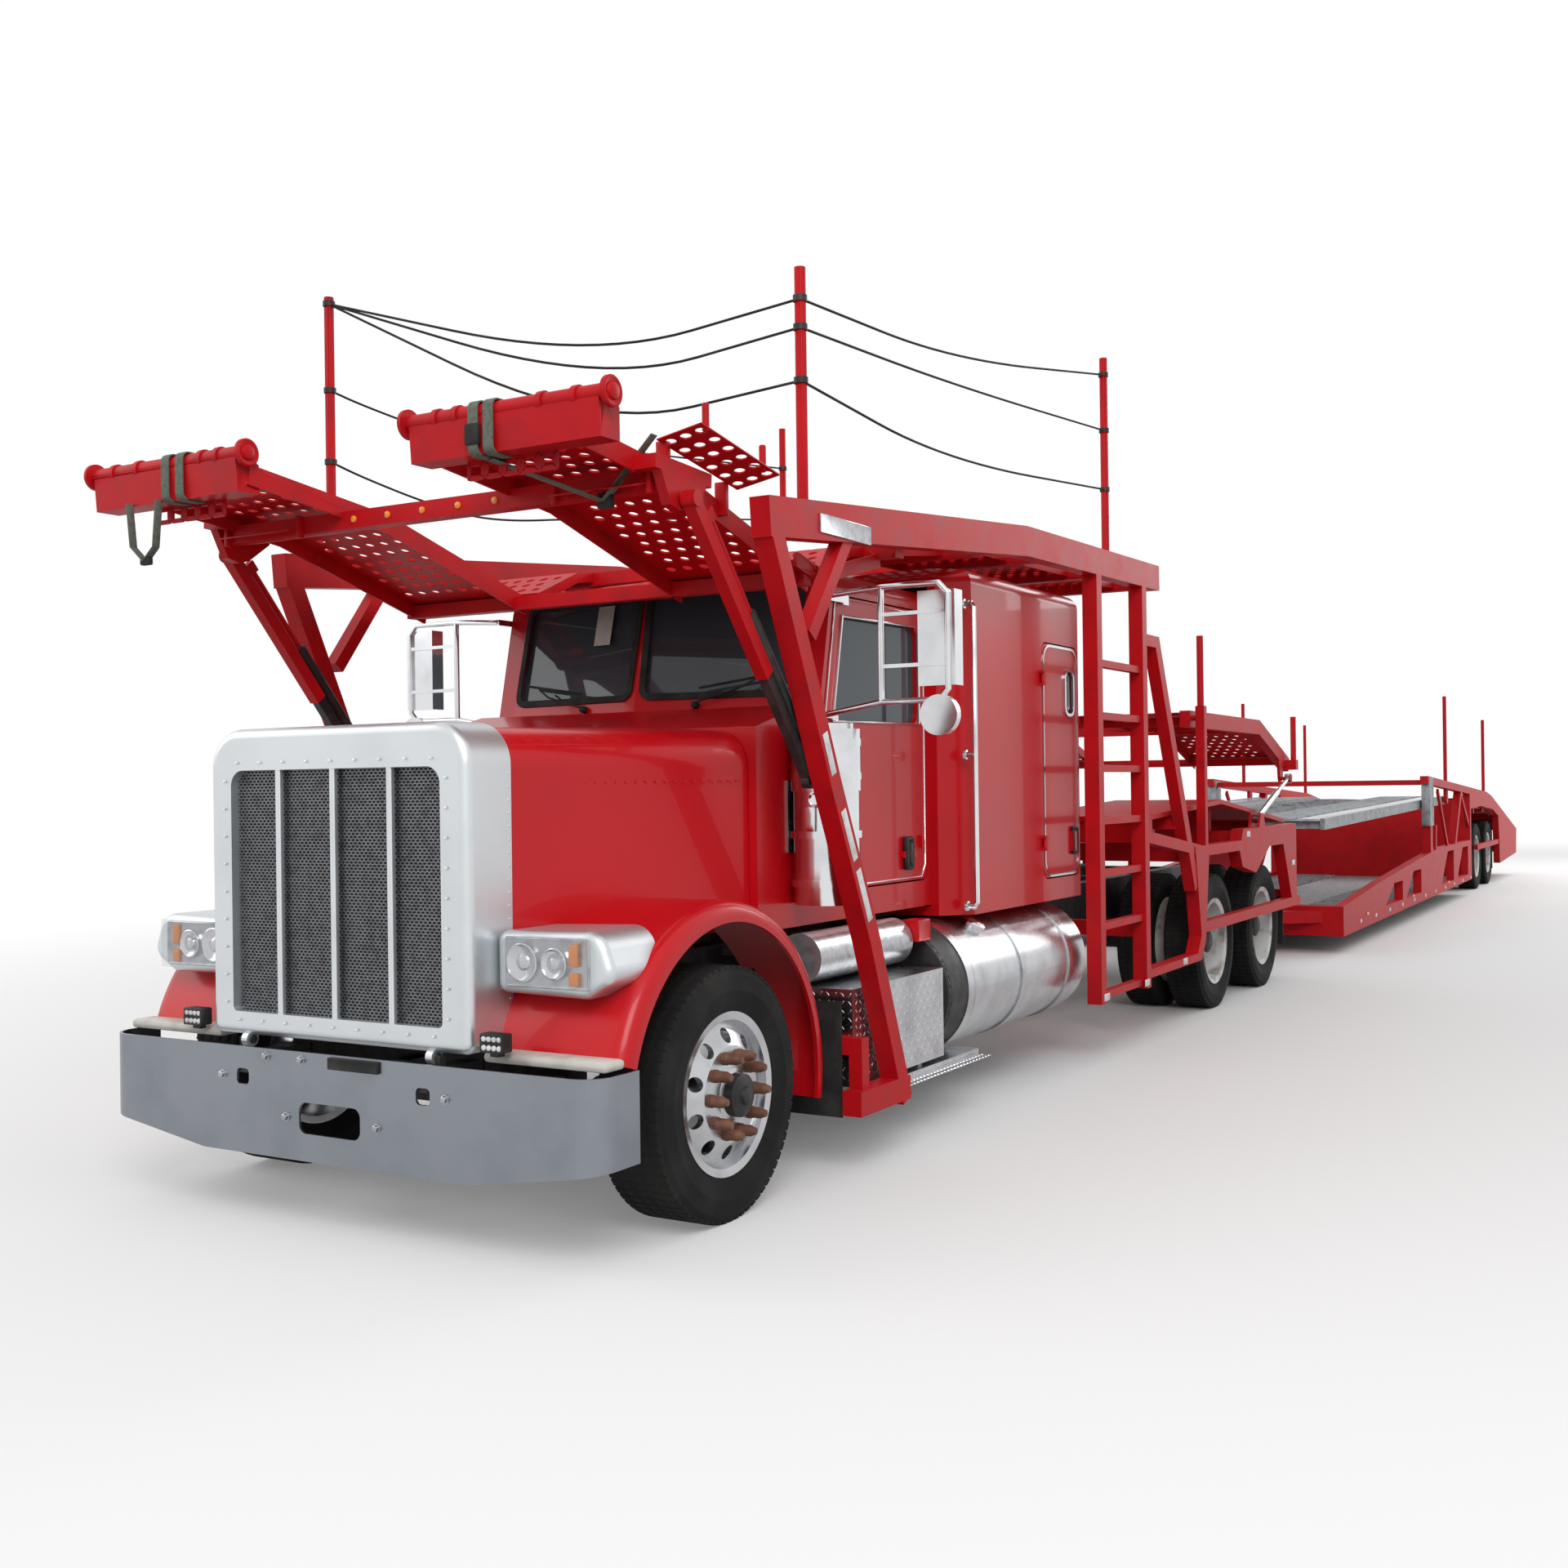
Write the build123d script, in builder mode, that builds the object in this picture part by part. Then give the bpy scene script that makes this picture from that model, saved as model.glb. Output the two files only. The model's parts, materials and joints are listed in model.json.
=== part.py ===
from build123d import *
import math
import os

os.makedirs("parts", exist_ok=True)

# Long-nosed sleeper tractor with a stinger-steered car trailer. Millimetres.
# X is positive on the driver's side, Y runs rearwards and Z is up.
# A station is a distance behind the bumper face, and at() turns it into Y.

# overall and axle stations
tail_station = 24700
front_axle_station = 844
drive_axle_station = 7094
drive_axle_spacing = 1321
trailer_axle_station = 20610
trailer_axle_spacing = 1245
body_half_width = 1295
rig_plate = 85

# wheels
wheel_radius = 463
rim_radius = 298
steer_tyre_width = 285
steer_tyre_centre = 1030
dual_tyre_width = 255
dual_centre = 920
dual_spacing = 330
spindle_radius = 44.7
bearing_clearance = 0.3
kingpin_offset = 800
kingpin_radius = 24

# chassis
rail_half_spacing = 430
rail_height = 270
rail_flange = 90
rail_web = 12
rail_bottom = 620
rail_front_station = 330
rail_rear_station = 9300

# bumper
bumper_half_width = 1190
bumper_top = 648
bumper_bottom = 258
bumper_end_bottom = 343
bumper_flat_half_width = 638
bumper_return = 240
bumper_plate = 10

# hood and crown
crown_half_width = 635
crown_front_station = 40
crown_rear_station = 270
crown_bottom = 680
crown_top = 1815
crown_skin = 14
grille_half_width = 516
grille_bottom = 768
grille_top = 1660
hood_rear_station = 1470
hood_rear_half_width = 860
hood_skin = 12
hood_lower_edge = 1000
hood_pivot_station = 62
hood_pivot_height = 664
hinge_lug_x = 440
hinge_pin_radius = 15
hinge_clearance = 0.3
fender_outer = 1170
fender_skin = 16

# cab and sleeper
cab_half_width = 900
cab_floor = 985
cab_roof = 2530
cab_wall = 45
cab_back_station = 3115
cowl_height = 1925
screen_centre_station = 1880
screen_corner_station = 2000
screen_corner_half = 800
screen_lean = 0.22
screen_middle = 302
screen_height = 490
screen_post = 56
sleeper_half_width = 1070
sleeper_back_station = 4850
sleeper_roof = 2650
sleeper_floor = 930
door_gap = 8
door_front_station = 2030
bunk_front_station = 4190

# head rack
rack_inner = body_half_width - rig_plate
runway_inner = 420
runway_outer = 1050
runway_plate = 8
runway_skirt = 60
ramp_pivot_station = 1690
ramp_pivot_height = 2440
prop_top_station = 610
prop_top_height = 2585
prop_foot_station = 1420
prop_foot_height = 1600

# rear deck of the tractor
deck_pivot_station = 6610
deck_pivot_height = 2000

# trailer
hitch_station = 9750
hitch_height = 520
hitch_pin_radius = 60
trailer_front_station = 10930
beam_thickness = 90
mid_deck_pivot_station = 17600
mid_deck_height = 1300

half_length = tail_station / 2


def at(station):
    return station - half_length


def outline(points):
    # points of a side view, given as (station, height)
    return [(at(station), height) for station, height in points]


def band(points, width):
    # outline of a bar of constant width along a line of points, mitred at its bends
    line = [Vector(*point) for point in points]
    runs = [(after - before).normalized() for before, after in zip(line[:-1], line[1:])]
    left, right = [], []
    for here, arriving, leaving in zip(line, runs[:1] + runs, runs + runs[-1:]):
        middle = (arriving + leaving).normalized()
        reach = width / 2 / middle.dot(arriving)
        left.append((here.X - middle.Y * reach, here.Y + middle.X * reach))
        right.append((here.X + middle.Y * reach, here.Y - middle.X * reach))
    return left + right[::-1]


def side_face(points, x=0.0):
    # face in a side view at a given distance across
    with BuildSketch(Plane.YZ.offset(x)) as face:
        with BuildLine():
            Polyline(*outline(points), close=True)
        make_face()
    return face.sketch


def plan_face(points, height):
    # face in plan from (across, station) points
    with BuildSketch(Plane.XY.offset(height)) as face:
        with BuildLine():
            Polyline(*[(x, at(s)) for x, s in points], close=True)
        make_face()
    return face.sketch


def side_rod(x, start, end, radius):
    # round bar in a side view, between two (station, height) points
    begin = Vector(x, at(start[0]), start[1])
    finish = Vector(x, at(end[0]), end[1])
    run = finish - begin
    with BuildSketch(Plane(origin=begin, z_dir=run)) as face:
        Circle(radius)
    return extrude(face.sketch, amount=run.length)


def cross_tube(station, height, half_length_across, size, size_up=None):
    # square tube across the vehicle
    with BuildSketch(Plane.YZ.offset(-half_length_across)) as face:
        with Locations((at(station), height)):
            Rectangle(size, size_up or size)
    return extrude(face.sketch, amount=2 * half_length_across)


def block(x, stations, heights):
    # box between two distances across, two stations and two heights
    box = Box(x[1] - x[0], stations[1] - stations[0], heights[1] - heights[0], mode=Mode.PRIVATE)
    middle = ((x[0] + x[1]) / 2, at((stations[0] + stations[1]) / 2), (heights[0] + heights[1]) / 2)
    return Pos(*middle) * box


def side_disc(x, station, height, radius, width):
    # disc with its axis across the vehicle, from x to x + width
    with BuildSketch(Plane.YZ.offset(x)) as face:
        with Locations((at(station), height)):
            Circle(radius)
    return extrude(face.sketch, amount=width)


def line_height(points, station):
    # height of a side-view line at a station
    for (s0, h0), (s1, h1) in zip(points[:-1], points[1:]):
        if station <= s1 or (s1, h1) == points[-1]:
            return h0 + (h1 - h0) * (station - s0) / (s1 - s0)


def write(name, part):
    part.label = name
    export_step(part, f"parts/{name}.step")


def wheel_plane(station):
    return Plane(origin=(0, at(station), wheel_radius), x_dir=(1, 0, 0), z_dir=(0, -1, 0))


def axle_axis(station):
    return Axis((0, at(station), wheel_radius), (1, 0, 0))


def tyre_outline(centre, width):
    # tyre section as (across, radius), bead to bead over the tread
    half = width / 2
    return [
        (centre - half + 24, rim_radius - 4),
        (centre - half, 376),
        (centre - half + 6, 432),
        (centre - half + 26, wheel_radius - 3),
        (centre + half - 26, wheel_radius - 3),
        (centre + half - 6, 432),
        (centre + half, 376),
        (centre + half - 24, rim_radius - 4),
    ]


# steer wheels: a tyre and an aluminium rim with hand holes and lug covers
rim_seat = rim_radius - 12
lug_circle = 143
lug_count = 10
hand_hole_circle = 212
for side, sign in (("left", 1), ("right", -1)):
    centre = steer_tyre_centre
    with BuildPart() as steer_tyre:
        with BuildSketch(wheel_plane(front_axle_station)):
            with BuildLine():
                points = tyre_outline(centre, steer_tyre_width)
                points[3] = (points[3][0], wheel_radius)
                points[4] = (points[4][0], wheel_radius)
                Polyline(*points, close=True)
            make_face()
        revolve(axis=axle_axis(front_axle_station))
    with BuildPart() as steer_rim:
        hub_bore = spindle_radius + bearing_clearance
        with BuildSketch(wheel_plane(front_axle_station)):
            with BuildLine():
                rim_points = [
                    (centre + 190, 0),
                    (centre + 190, 48),
                    (centre + 178, 66),
                    (centre + 150, 72),
                    (centre + 142, 95),
                    (centre + 132, 176),
                    (centre + 96, 238),
                    (centre + 88, 262),
                    (centre + 118, 268),
                    (centre + 124, rim_radius),
                    (centre + 116, rim_radius + 2),
                    (centre + 108, rim_seat + 2),
                    (centre - 108, rim_seat + 2),
                    (centre - 116, rim_radius + 2),
                    (centre - 124, rim_radius),
                    (centre - 118, 268),
                    (centre + 66, 252),
                    (centre + 76, 232),
                    (centre + 110, 172),
                    (centre + 114, 100),
                    (centre - 20, 90),
                    (centre - 20, hub_bore),
                    (centre + 160, hub_bore),
                    (centre + 160, 0),
                ]
                Polyline(*rim_points, close=True)
            make_face()
        revolve(axis=axle_axis(front_axle_station))
        hub_face = Plane(
            origin=(centre + 131, at(front_axle_station), wheel_radius), x_dir=(0, 1, 0), z_dir=(1, 0, 0)
        )
        with BuildSketch(hub_face.offset(-70)):
            with PolarLocations(hand_hole_circle, lug_count, start_angle=18):
                Circle(27)
        extrude(amount=140, mode=Mode.SUBTRACT)
        with BuildSketch(hub_face):
            with PolarLocations(lug_circle, lug_count):
                Circle(19)
        extrude(amount=52)
    tyre_solid = steer_tyre.part
    bead_cut = steer_rim.part
    tyre_solid = tyre_solid - bead_cut
    if sign < 0:
        tyre_solid = mirror(tyre_solid, about=Plane.YZ)
        rim_solid = mirror(steer_rim.part, about=Plane.YZ)
    else:
        rim_solid = steer_rim.part
    write(f"steer_tyre_{side}", tyre_solid)
    write(f"steer_rim_{side}", rim_solid)

# dual wheels: two tyres, their dished rims, the hub and the brake drum in one
dual_axles = [
    # name, station
    ("drive_wheel_front", drive_axle_station),
    ("drive_wheel_rear", drive_axle_station + drive_axle_spacing),
    ("trailer_wheel_front", trailer_axle_station),
    ("trailer_wheel_rear", trailer_axle_station + trailer_axle_spacing),
]
drum_depth = 250
for name, station in dual_axles:
    outer = dual_centre + dual_spacing / 2
    inner = dual_centre - dual_spacing / 2
    hub_bore = spindle_radius + bearing_clearance
    outer_tyre = tyre_outline(outer, dual_tyre_width)
    inner_tyre = tyre_outline(inner, dual_tyre_width)
    with BuildPart() as dual_wheel:
        with BuildSketch(wheel_plane(station)):
            with BuildLine():
                profile = [
                    (dual_centre + 215, 0),
                    (dual_centre + 210, 84),
                    (dual_centre + 190, 112),
                    (dual_centre + 24, 120),
                    (dual_centre + 24, 250),
                    (outer + 100, 264),
                    (outer + 112, rim_radius),
                ]
                profile += outer_tyre[::-1]
                profile += [(dual_centre + 14, 282), (dual_centre - 14, 282)]
                profile += inner_tyre[::-1]
                profile += [
                    (inner - 112, rim_radius),
                    (inner - 100, 264),
                    (dual_centre - 24, 250),
                    (dual_centre - 24, 205),
                    (dual_centre - drum_depth, 205),
                    (dual_centre - drum_depth, hub_bore),
                    (dual_centre + 170, hub_bore),
                    (dual_centre + 170, 0),
                ]
                Polyline(*profile, close=True)
            make_face()
        revolve(axis=axle_axis(station))
    for side, sign in (("left", 1), ("right", -1)):
        solid = dual_wheel.part if sign > 0 else mirror(dual_wheel.part, about=Plane.YZ)
        write(f"{name}_{side}", solid)

# kingpin knuckles with their spindles
beam_eye_half = 75
for side, sign in (("left", 1), ("right", -1)):
    with BuildPart() as knuckle:
        with BuildSketch(Plane.XY.offset(wheel_radius - 110)):
            with Locations((kingpin_offset, at(front_axle_station))):
                Circle(52)
        extrude(amount=30)
        with BuildSketch(Plane.XY.offset(wheel_radius + 80)):
            with Locations((kingpin_offset, at(front_axle_station))):
                Circle(52)
        extrude(amount=30)
        with BuildSketch(Plane.XY.offset(wheel_radius - 110)):
            with Locations((kingpin_offset, at(front_axle_station))):
                Circle(kingpin_radius)
        extrude(amount=220)
        with BuildSketch(Plane.XY.offset(wheel_radius - 110)):
            with Locations((kingpin_offset + 92, at(front_axle_station))):
                Rectangle(54, 130)
        extrude(amount=220)
        with BuildSketch(Plane.XY.offset(wheel_radius - 110)):
            with Locations((kingpin_offset + 45, at(front_axle_station))):
                Rectangle(60, 100)
        extrude(amount=30)
        with BuildSketch(Plane.XY.offset(wheel_radius + 80)):
            with Locations((kingpin_offset + 45, at(front_axle_station))):
                Rectangle(60, 100)
        extrude(amount=30)
        with BuildSketch(Plane(origin=(kingpin_offset + 100, at(front_axle_station), wheel_radius), z_dir=(1, 0, 0))):
            Circle(spindle_radius)
        extrude(amount=steer_tyre_centre + 158 - kingpin_offset - 100)
    solid = knuckle.part if sign > 0 else mirror(knuckle.part, about=Plane.YZ)
    write(f"steering_knuckle_{side}", solid)

# front beam and the two drive axles, each a separate solid in one node
with BuildPart() as axles:
    beam_drop = [
        # across, height of the beam's middle
        (kingpin_offset, wheel_radius),
        (kingpin_offset - 190, wheel_radius - 20),
        (kingpin_offset - 300, wheel_radius - 90),
        (0, wheel_radius - 90),
    ]
    with BuildSketch(Plane.XZ.offset(-at(front_axle_station) - 50)):
        with BuildLine():
            half_beam = band([(x, z) for x, z in beam_drop], 100)
            Polyline(*half_beam, close=True)
        make_face()
    extrude(amount=100)
    with BuildSketch(Plane.XY.offset(wheel_radius - beam_eye_half)):
        with Locations((kingpin_offset, at(front_axle_station))):
            Circle(58)
    extrude(amount=2 * beam_eye_half)
    with BuildSketch(Plane.XY.offset(wheel_radius - beam_eye_half - 5)):
        with Locations((kingpin_offset, at(front_axle_station))):
            Circle(kingpin_radius + bearing_clearance)
    extrude(amount=2 * beam_eye_half + 10, mode=Mode.SUBTRACT)
    with BuildSketch(Plane.XY.offset(wheel_radius - 160)):
        with Locations((kingpin_offset + 95, at(front_axle_station))):
            Rectangle(75, 200)
    extrude(amount=320, mode=Mode.SUBTRACT)
    # leaf springs carry the beam under the rails
    spring_end = rail_bottom - 28
    spring_line = [(345, spring_end), (600, 535), (844, 500), (1090, 535), (1370, spring_end)]
    extrude(side_face(band(spring_line, 50), rail_half_spacing - 40), amount=80)
    for station in (345, 1370):
        add(block((rail_half_spacing - 40, rail_half_spacing + 40), (station - 40, station + 40), (spring_end - 20, rail_bottom)))
    with BuildSketch(Plane.XY.offset(wheel_radius - 60)):
        with Locations((rail_half_spacing - 30, at(front_axle_station))):
            Rectangle(110, 140)
    extrude(amount=80)
    mirror(about=Plane.YZ)
    for station in (drive_axle_station, drive_axle_station + drive_axle_spacing):
        reach = dual_centre - drum_depth - 6
        tip = dual_centre + 165
        housing = [
            # across, radius
            (0, 0),
            (0, 205),
            (95, 190),
            (190, 110),
            (260, 72),
            (reach, 72),
            (reach, spindle_radius),
            (tip, spindle_radius),
            (tip, 0),
        ]
        with BuildSketch(wheel_plane(station)):
            with BuildLine():
                Polyline(*housing, close=True)
            make_face()
            mirror(about=Plane.YZ)
        revolve(axis=axle_axis(station))
        # air spring beams to the rails
        for side in (-1, 1):
            with Locations((side * rail_half_spacing, at(station), (wheel_radius + rail_bottom) / 2 + 5)):
                Box(110, 260, rail_bottom - wheel_radius - 10)
write("axles", axles.part)

# ladder frame of two channels and their cross members
with BuildPart() as tractor_frame:
    rail_top = rail_bottom + rail_height
    channel = [
        (rail_half_spacing + 40, rail_bottom),
        (rail_half_spacing + 40, rail_top),
        (rail_half_spacing + 40 - rail_flange, rail_top),
        (rail_half_spacing + 40 - rail_flange, rail_top - rail_web),
        (rail_half_spacing + 40 - rail_web, rail_top - rail_web),
        (rail_half_spacing + 40 - rail_web, rail_bottom + rail_web),
        (rail_half_spacing + 40 - rail_flange, rail_bottom + rail_web),
        (rail_half_spacing + 40 - rail_flange, rail_bottom),
    ]
    with BuildSketch(Plane.XZ.offset(-at(rail_rear_station))):
        with BuildLine():
            Polyline(*channel, close=True)
        make_face()
    extrude(amount=rail_rear_station - rail_front_station)
    mirror(about=Plane.YZ)
    member_stations = [380, 2300, 3400, 4900, 6200, 7750, 9220]
    for station in member_stations:
        with Locations((0, at(station), rail_bottom + rail_height / 2)):
            Box(2 * (rail_half_spacing + 40 - rail_web), 90, rail_height - 60)
    # outriggers that hold the bumper
    for side in (-1, 1):
        reach = sorted((side * (rail_half_spacing - 40), side * (rail_half_spacing + 40)))
        add(block(reach, (bumper_plate, 295), (550, rail_bottom)))
        add(block(reach, (crown_rear_station + 12, 345), (rail_bottom, rail_bottom + 120)))
        # ear and pin that the hood tips on
        ear = sorted((side * (hinge_lug_x + 34), side * (hinge_lug_x + 54)))
        ear_stations = (hood_pivot_station - 14, hood_pivot_station + 14)
        add(block(ear, ear_stations, (560, hood_pivot_height + 8)))
        add(block(sorted((side * 460, side * (hinge_lug_x + 54))), ear_stations, (560, 610)))
        start = min(side * (hinge_lug_x - 8), side * (hinge_lug_x + 40))
        add(side_disc(start, hood_pivot_station, hood_pivot_height, hinge_pin_radius, 48))
        # pads under the cab and the sleeper
        for station, top in ((1600, cab_floor), (2950, cab_floor), (3300, sleeper_floor), (4700, sleeper_floor)):
            add(block(reach, (station - 40, station + 40), (rail_bottom + rail_height, top)))
    # stinger: a dropped tongue behind the last cross member, with the hitch pin
    tongue_height = hitch_height - 90
    tongue = [(9200, 700), (9330, tongue_height), (hitch_station + 130, tongue_height)]
    extrude(side_face(band(tongue, 90), -150), amount=300)
    with BuildSketch(Plane.XY.offset(hitch_height - 90)):
        with Locations((0, at(hitch_station))):
            Circle(hitch_pin_radius)
    extrude(amount=170)
write("tractor_frame", tractor_frame.part)

# engine as one block, with the radiator ahead of it
with BuildPart() as engine_block:
    add(block((-320, 320), (560, 1455), (760, 1420)))
    add(block((-210, 210), (700, 2180), (680, 960)))
    add(block((-470, 470), (410, 500), (rail_bottom + rail_height + 10, 1640)))
    add(block((-150, 150), (500, 560), (950, 1200)))
    inner_web = rail_half_spacing + 40 - rail_web
    for side in (-1, 1):
        add(block(sorted((side * 300, side * inner_web)), (1000, 1080), (762, 810)))
        foot = sorted((side * 390, side * (rail_half_spacing + 40)))
        add(block(foot, (410, 500), (rail_bottom + rail_height, rail_bottom + rail_height + 20)))
write("engine_block", engine_block.part)

# bumper: a bent plate with rounded ends, a tapered lower edge and a tow slot
with BuildPart() as front_bumper:
    corner_radius = 110
    with BuildSketch(Plane.XY.offset(bumper_bottom)):
        with BuildLine():
            path = FilletPolyline(
                (-bumper_half_width, at(bumper_return)),
                (-bumper_half_width, at(0)),
                (bumper_half_width, at(0)),
                (bumper_half_width, at(bumper_return)),
                radius=corner_radius,
            )
            Line(path @ 1, path @ 0)
        make_face()
        with BuildLine():
            inner_path = FilletPolyline(
                (-bumper_half_width + bumper_plate, at(bumper_return)),
                (-bumper_half_width + bumper_plate, at(bumper_plate)),
                (bumper_half_width - bumper_plate, at(bumper_plate)),
                (bumper_half_width - bumper_plate, at(bumper_return)),
                radius=corner_radius - bumper_plate,
            )
            Line(inner_path @ 1, inner_path @ 0)
        make_face(mode=Mode.SUBTRACT)
    extrude(amount=bumper_top - bumper_bottom)
    for side in (-1, 1):
        taper = [
            (side * bumper_flat_half_width, bumper_bottom),
            (side * (bumper_half_width + 10), bumper_end_bottom),
            (side * (bumper_half_width + 10), bumper_bottom - 20),
            (side * bumper_flat_half_width, bumper_bottom - 20),
        ]
        with BuildSketch(Plane.XZ.offset(-at(bumper_return + 20))):
            with BuildLine():
                Polyline(*taper, close=True)
            make_face()
        extrude(amount=bumper_return + 60, mode=Mode.SUBTRACT)
    cutouts = [
        # across, height, width, depth
        (15, 413, 300, 112),
        (-424, 538, 64, 58),
        (459, 538, 64, 58),
    ]
    with BuildSketch(Plane.XZ.offset(-at(40))):
        for x, z, width, height in cutouts:
            with Locations((x, z)):
                RectangleRounded(width, height, min(width, height) * 0.3)
    extrude(amount=80, mode=Mode.SUBTRACT)
write("front_bumper", front_bumper.part)


def crown_face(half_width, bottom, top, corner, foot):
    with BuildSketch() as face:
        with BuildLine():
            FilletPolyline(
                (0, top),
                (half_width, top),
                (half_width, bottom),
                (0, bottom),
                radius=[corner, foot],
            )
            mirror(about=Plane.YZ)
        make_face()
    return face.sketch


# crown: polished surround with the opening for the mesh and its three bars
crown_plane = Plane(origin=(0, at(crown_rear_station), 0), x_dir=(1, 0, 0), z_dir=(0, -1, 0))
with BuildPart() as grille_crown:
    depth = crown_rear_station - crown_front_station
    outer_face = crown_plane * crown_face(crown_half_width, crown_bottom, crown_top, 150, 40)
    extrude(outer_face, amount=depth)
    front_edges = grille_crown.faces().sort_by(Axis.Y)[0].edges()
    fillet(front_edges, radius=36)
    inner_face = crown_plane * crown_face(
        crown_half_width - crown_skin, crown_bottom + crown_skin, crown_top - crown_skin, 136, 26
    )
    extrude(inner_face, amount=depth - 40, mode=Mode.SUBTRACT)
    opening_face = crown_plane * crown_face(grille_half_width, grille_bottom, grille_top, 60, 20)
    extrude(opening_face, amount=depth + 10, mode=Mode.SUBTRACT)
    for x in (-275, 0, 275):
        with BuildSketch(Plane.XY.offset(grille_bottom - 10)):
            with Locations((x, at(crown_front_station + 14))):
                RectangleRounded(26, 24, 8)
        extrude(amount=grille_top - grille_bottom + 20)
    for side in (-1, 1):
        start = min(side * hinge_lug_x, side * (hinge_lug_x + 30))
        add(side_disc(start, hood_pivot_station, hood_pivot_height, 28, 30))
        stations = (hood_pivot_station - 15, hood_pivot_station + 28)
        add(block((start, start + 30), stations, (hood_pivot_height, crown_bottom + 8)))
        bore = side_disc(start - 5, hood_pivot_station, hood_pivot_height, hinge_pin_radius + hinge_clearance, 40)
        add(bore, mode=Mode.SUBTRACT)
write("grille_crown", grille_crown.part)

# mesh panel behind the bars
with BuildPart() as grille_mesh:
    mesh_plane = Plane(origin=(0, at(crown_front_station + 40), 0), x_dir=(1, 0, 0), z_dir=(0, -1, 0))
    mesh_face = mesh_plane * crown_face(grille_half_width + 30, grille_bottom - 30, grille_top + 30, 60, 20)
    extrude(mesh_face, amount=-6)
write("grille_mesh", grille_mesh.part)


def hood_section(station, half_width, bottom, shoulder, top, radius):
    # one arch of the hood, from its lower edge up over the crown line
    section_plane = Plane(origin=(0, at(station), 0), x_dir=(1, 0, 0), z_dir=(0, -1, 0))
    with BuildSketch(section_plane) as face:
        with BuildLine():
            Line((-half_width, bottom), (half_width, bottom))
            Line((half_width, bottom), (half_width, shoulder))
            edge = math.sqrt(0.5)
            ThreePointArc(
                (half_width, shoulder),
                (half_width - radius * (1 - edge), shoulder + radius * edge),
                (half_width - radius, shoulder + radius),
            )
            ThreePointArc((half_width - radius, shoulder + radius), (0, top), (radius - half_width, shoulder + radius))
            ThreePointArc(
                (radius - half_width, shoulder + radius),
                (radius * (1 - edge) - half_width, shoulder + radius * edge),
                (-half_width, shoulder),
            )
            Line((-half_width, shoulder), (-half_width, bottom))
        make_face()
    return face.sketch


def hood_block(inset, front, rear, bottom):
    # front and rear sections of the hood, both set in by the skin
    hood_front = hood_section(front, crown_half_width - 5 - inset, bottom, 1658 - inset, 1806 - inset, 142)
    hood_rear = hood_section(rear, hood_rear_half_width - inset, bottom, 1658 - inset, 1840 - inset, 150)
    return loft([hood_front, hood_rear])


hood_outer = hood_block(0, crown_rear_station, hood_rear_station, hood_lower_edge)
with BuildPart() as hood:
    add(hood_outer)
    add(hood_block(hood_skin, crown_rear_station - 1, hood_rear_station + 1, hood_lower_edge - 10), mode=Mode.SUBTRACT)
write("hood", hood.part)

# fenders: shells that arch over the steer wheels, all from arcs about one centre
fender_station = 852
fender_height = 462
fender_radius = 702
fender_front_angle = 163
fender_rear_angle = -11
fender_lip = 78
fender_round = 58


def fender_sector(radius, x, spread):
    # slice of the arch from its rear foot over to its front foot, closed at the centre
    with BuildSketch(Plane.YZ.offset(x)) as face:
        with BuildLine():
            centre = (at(fender_station), fender_height)
            turn = fender_front_angle - fender_rear_angle + 2 * spread
            arc = CenterArc(centre, radius, fender_rear_angle - spread, turn)
            Polyline(arc @ 1, centre, arc @ 0)
        make_face()
    return face.sketch


def fender_block(inset, spread):
    # the arch as a solid, with its outer edge rounded
    with BuildPart() as block:
        extrude(fender_sector(fender_radius - inset, 600, spread), amount=fender_outer - inset - 600)
        arc_edges = block.faces().sort_by(Axis.X)[-1].edges().filter_by(GeomType.CIRCLE)
        fillet(arc_edges, radius=fender_round - inset)
    return block.part


with BuildPart() as fenders:
    add(fender_block(0, 0))
    add(fender_block(fender_skin, 2), mode=Mode.SUBTRACT)
    arch = fender_sector(fender_radius - fender_lip, 1100, 6)
    extrude(arch, amount=100, mode=Mode.SUBTRACT)
    add(hood_block(0, crown_rear_station, hood_rear_station, 0), mode=Mode.SUBTRACT)
    ahead = [(0, 0), (0, 2000), (crown_rear_station, 2000), (crown_rear_station, 0)]
    extrude(side_face(ahead, 0), amount=crown_half_width, mode=Mode.SUBTRACT)
    behind = [(1420, 0), (1420, 2000), (1700, 2000), (1700, 0)]
    extrude(side_face(behind, 0), amount=cab_half_width + 12, mode=Mode.SUBTRACT)
    mirror(about=Plane.YZ)
write("fenders", fenders.part)

# headlamp pods beside the crown, seated on the fenders and the hood
pod_inner = crown_half_width + 5
pod_outer = 1142
pod_bottom = 874
pod_top = 1106
pod_front_station = 172
with BuildPart() as headlamps:
    with BuildSketch(Plane.XZ.offset(-at(460))):
        with BuildLine():
            FilletPolyline(
                (pod_inner, pod_top - 12),
                (pod_outer - 60, pod_top),
                (pod_outer, pod_bottom + 70),
                (pod_outer - 120, pod_bottom),
                (pod_inner, pod_bottom + 8),
                close=True,
                radius=[40, 90, 60, 60, 40],
            )
        make_face()
    extrude(amount=460 - pod_front_station)
    pod_front = headlamps.faces().sort_by(Axis.Y)[0].edges()
    fillet(pod_front, radius=34)
    under = fender_sector(fender_radius + 0.3, pod_inner - 10, 2)
    extrude(under, amount=pod_outer - pod_inner + 40, mode=Mode.SUBTRACT)
    add(hood_block(0, crown_rear_station, hood_rear_station, 0), mode=Mode.SUBTRACT)
    mirror(about=Plane.YZ)
write("headlamps", headlamps.part)


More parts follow.
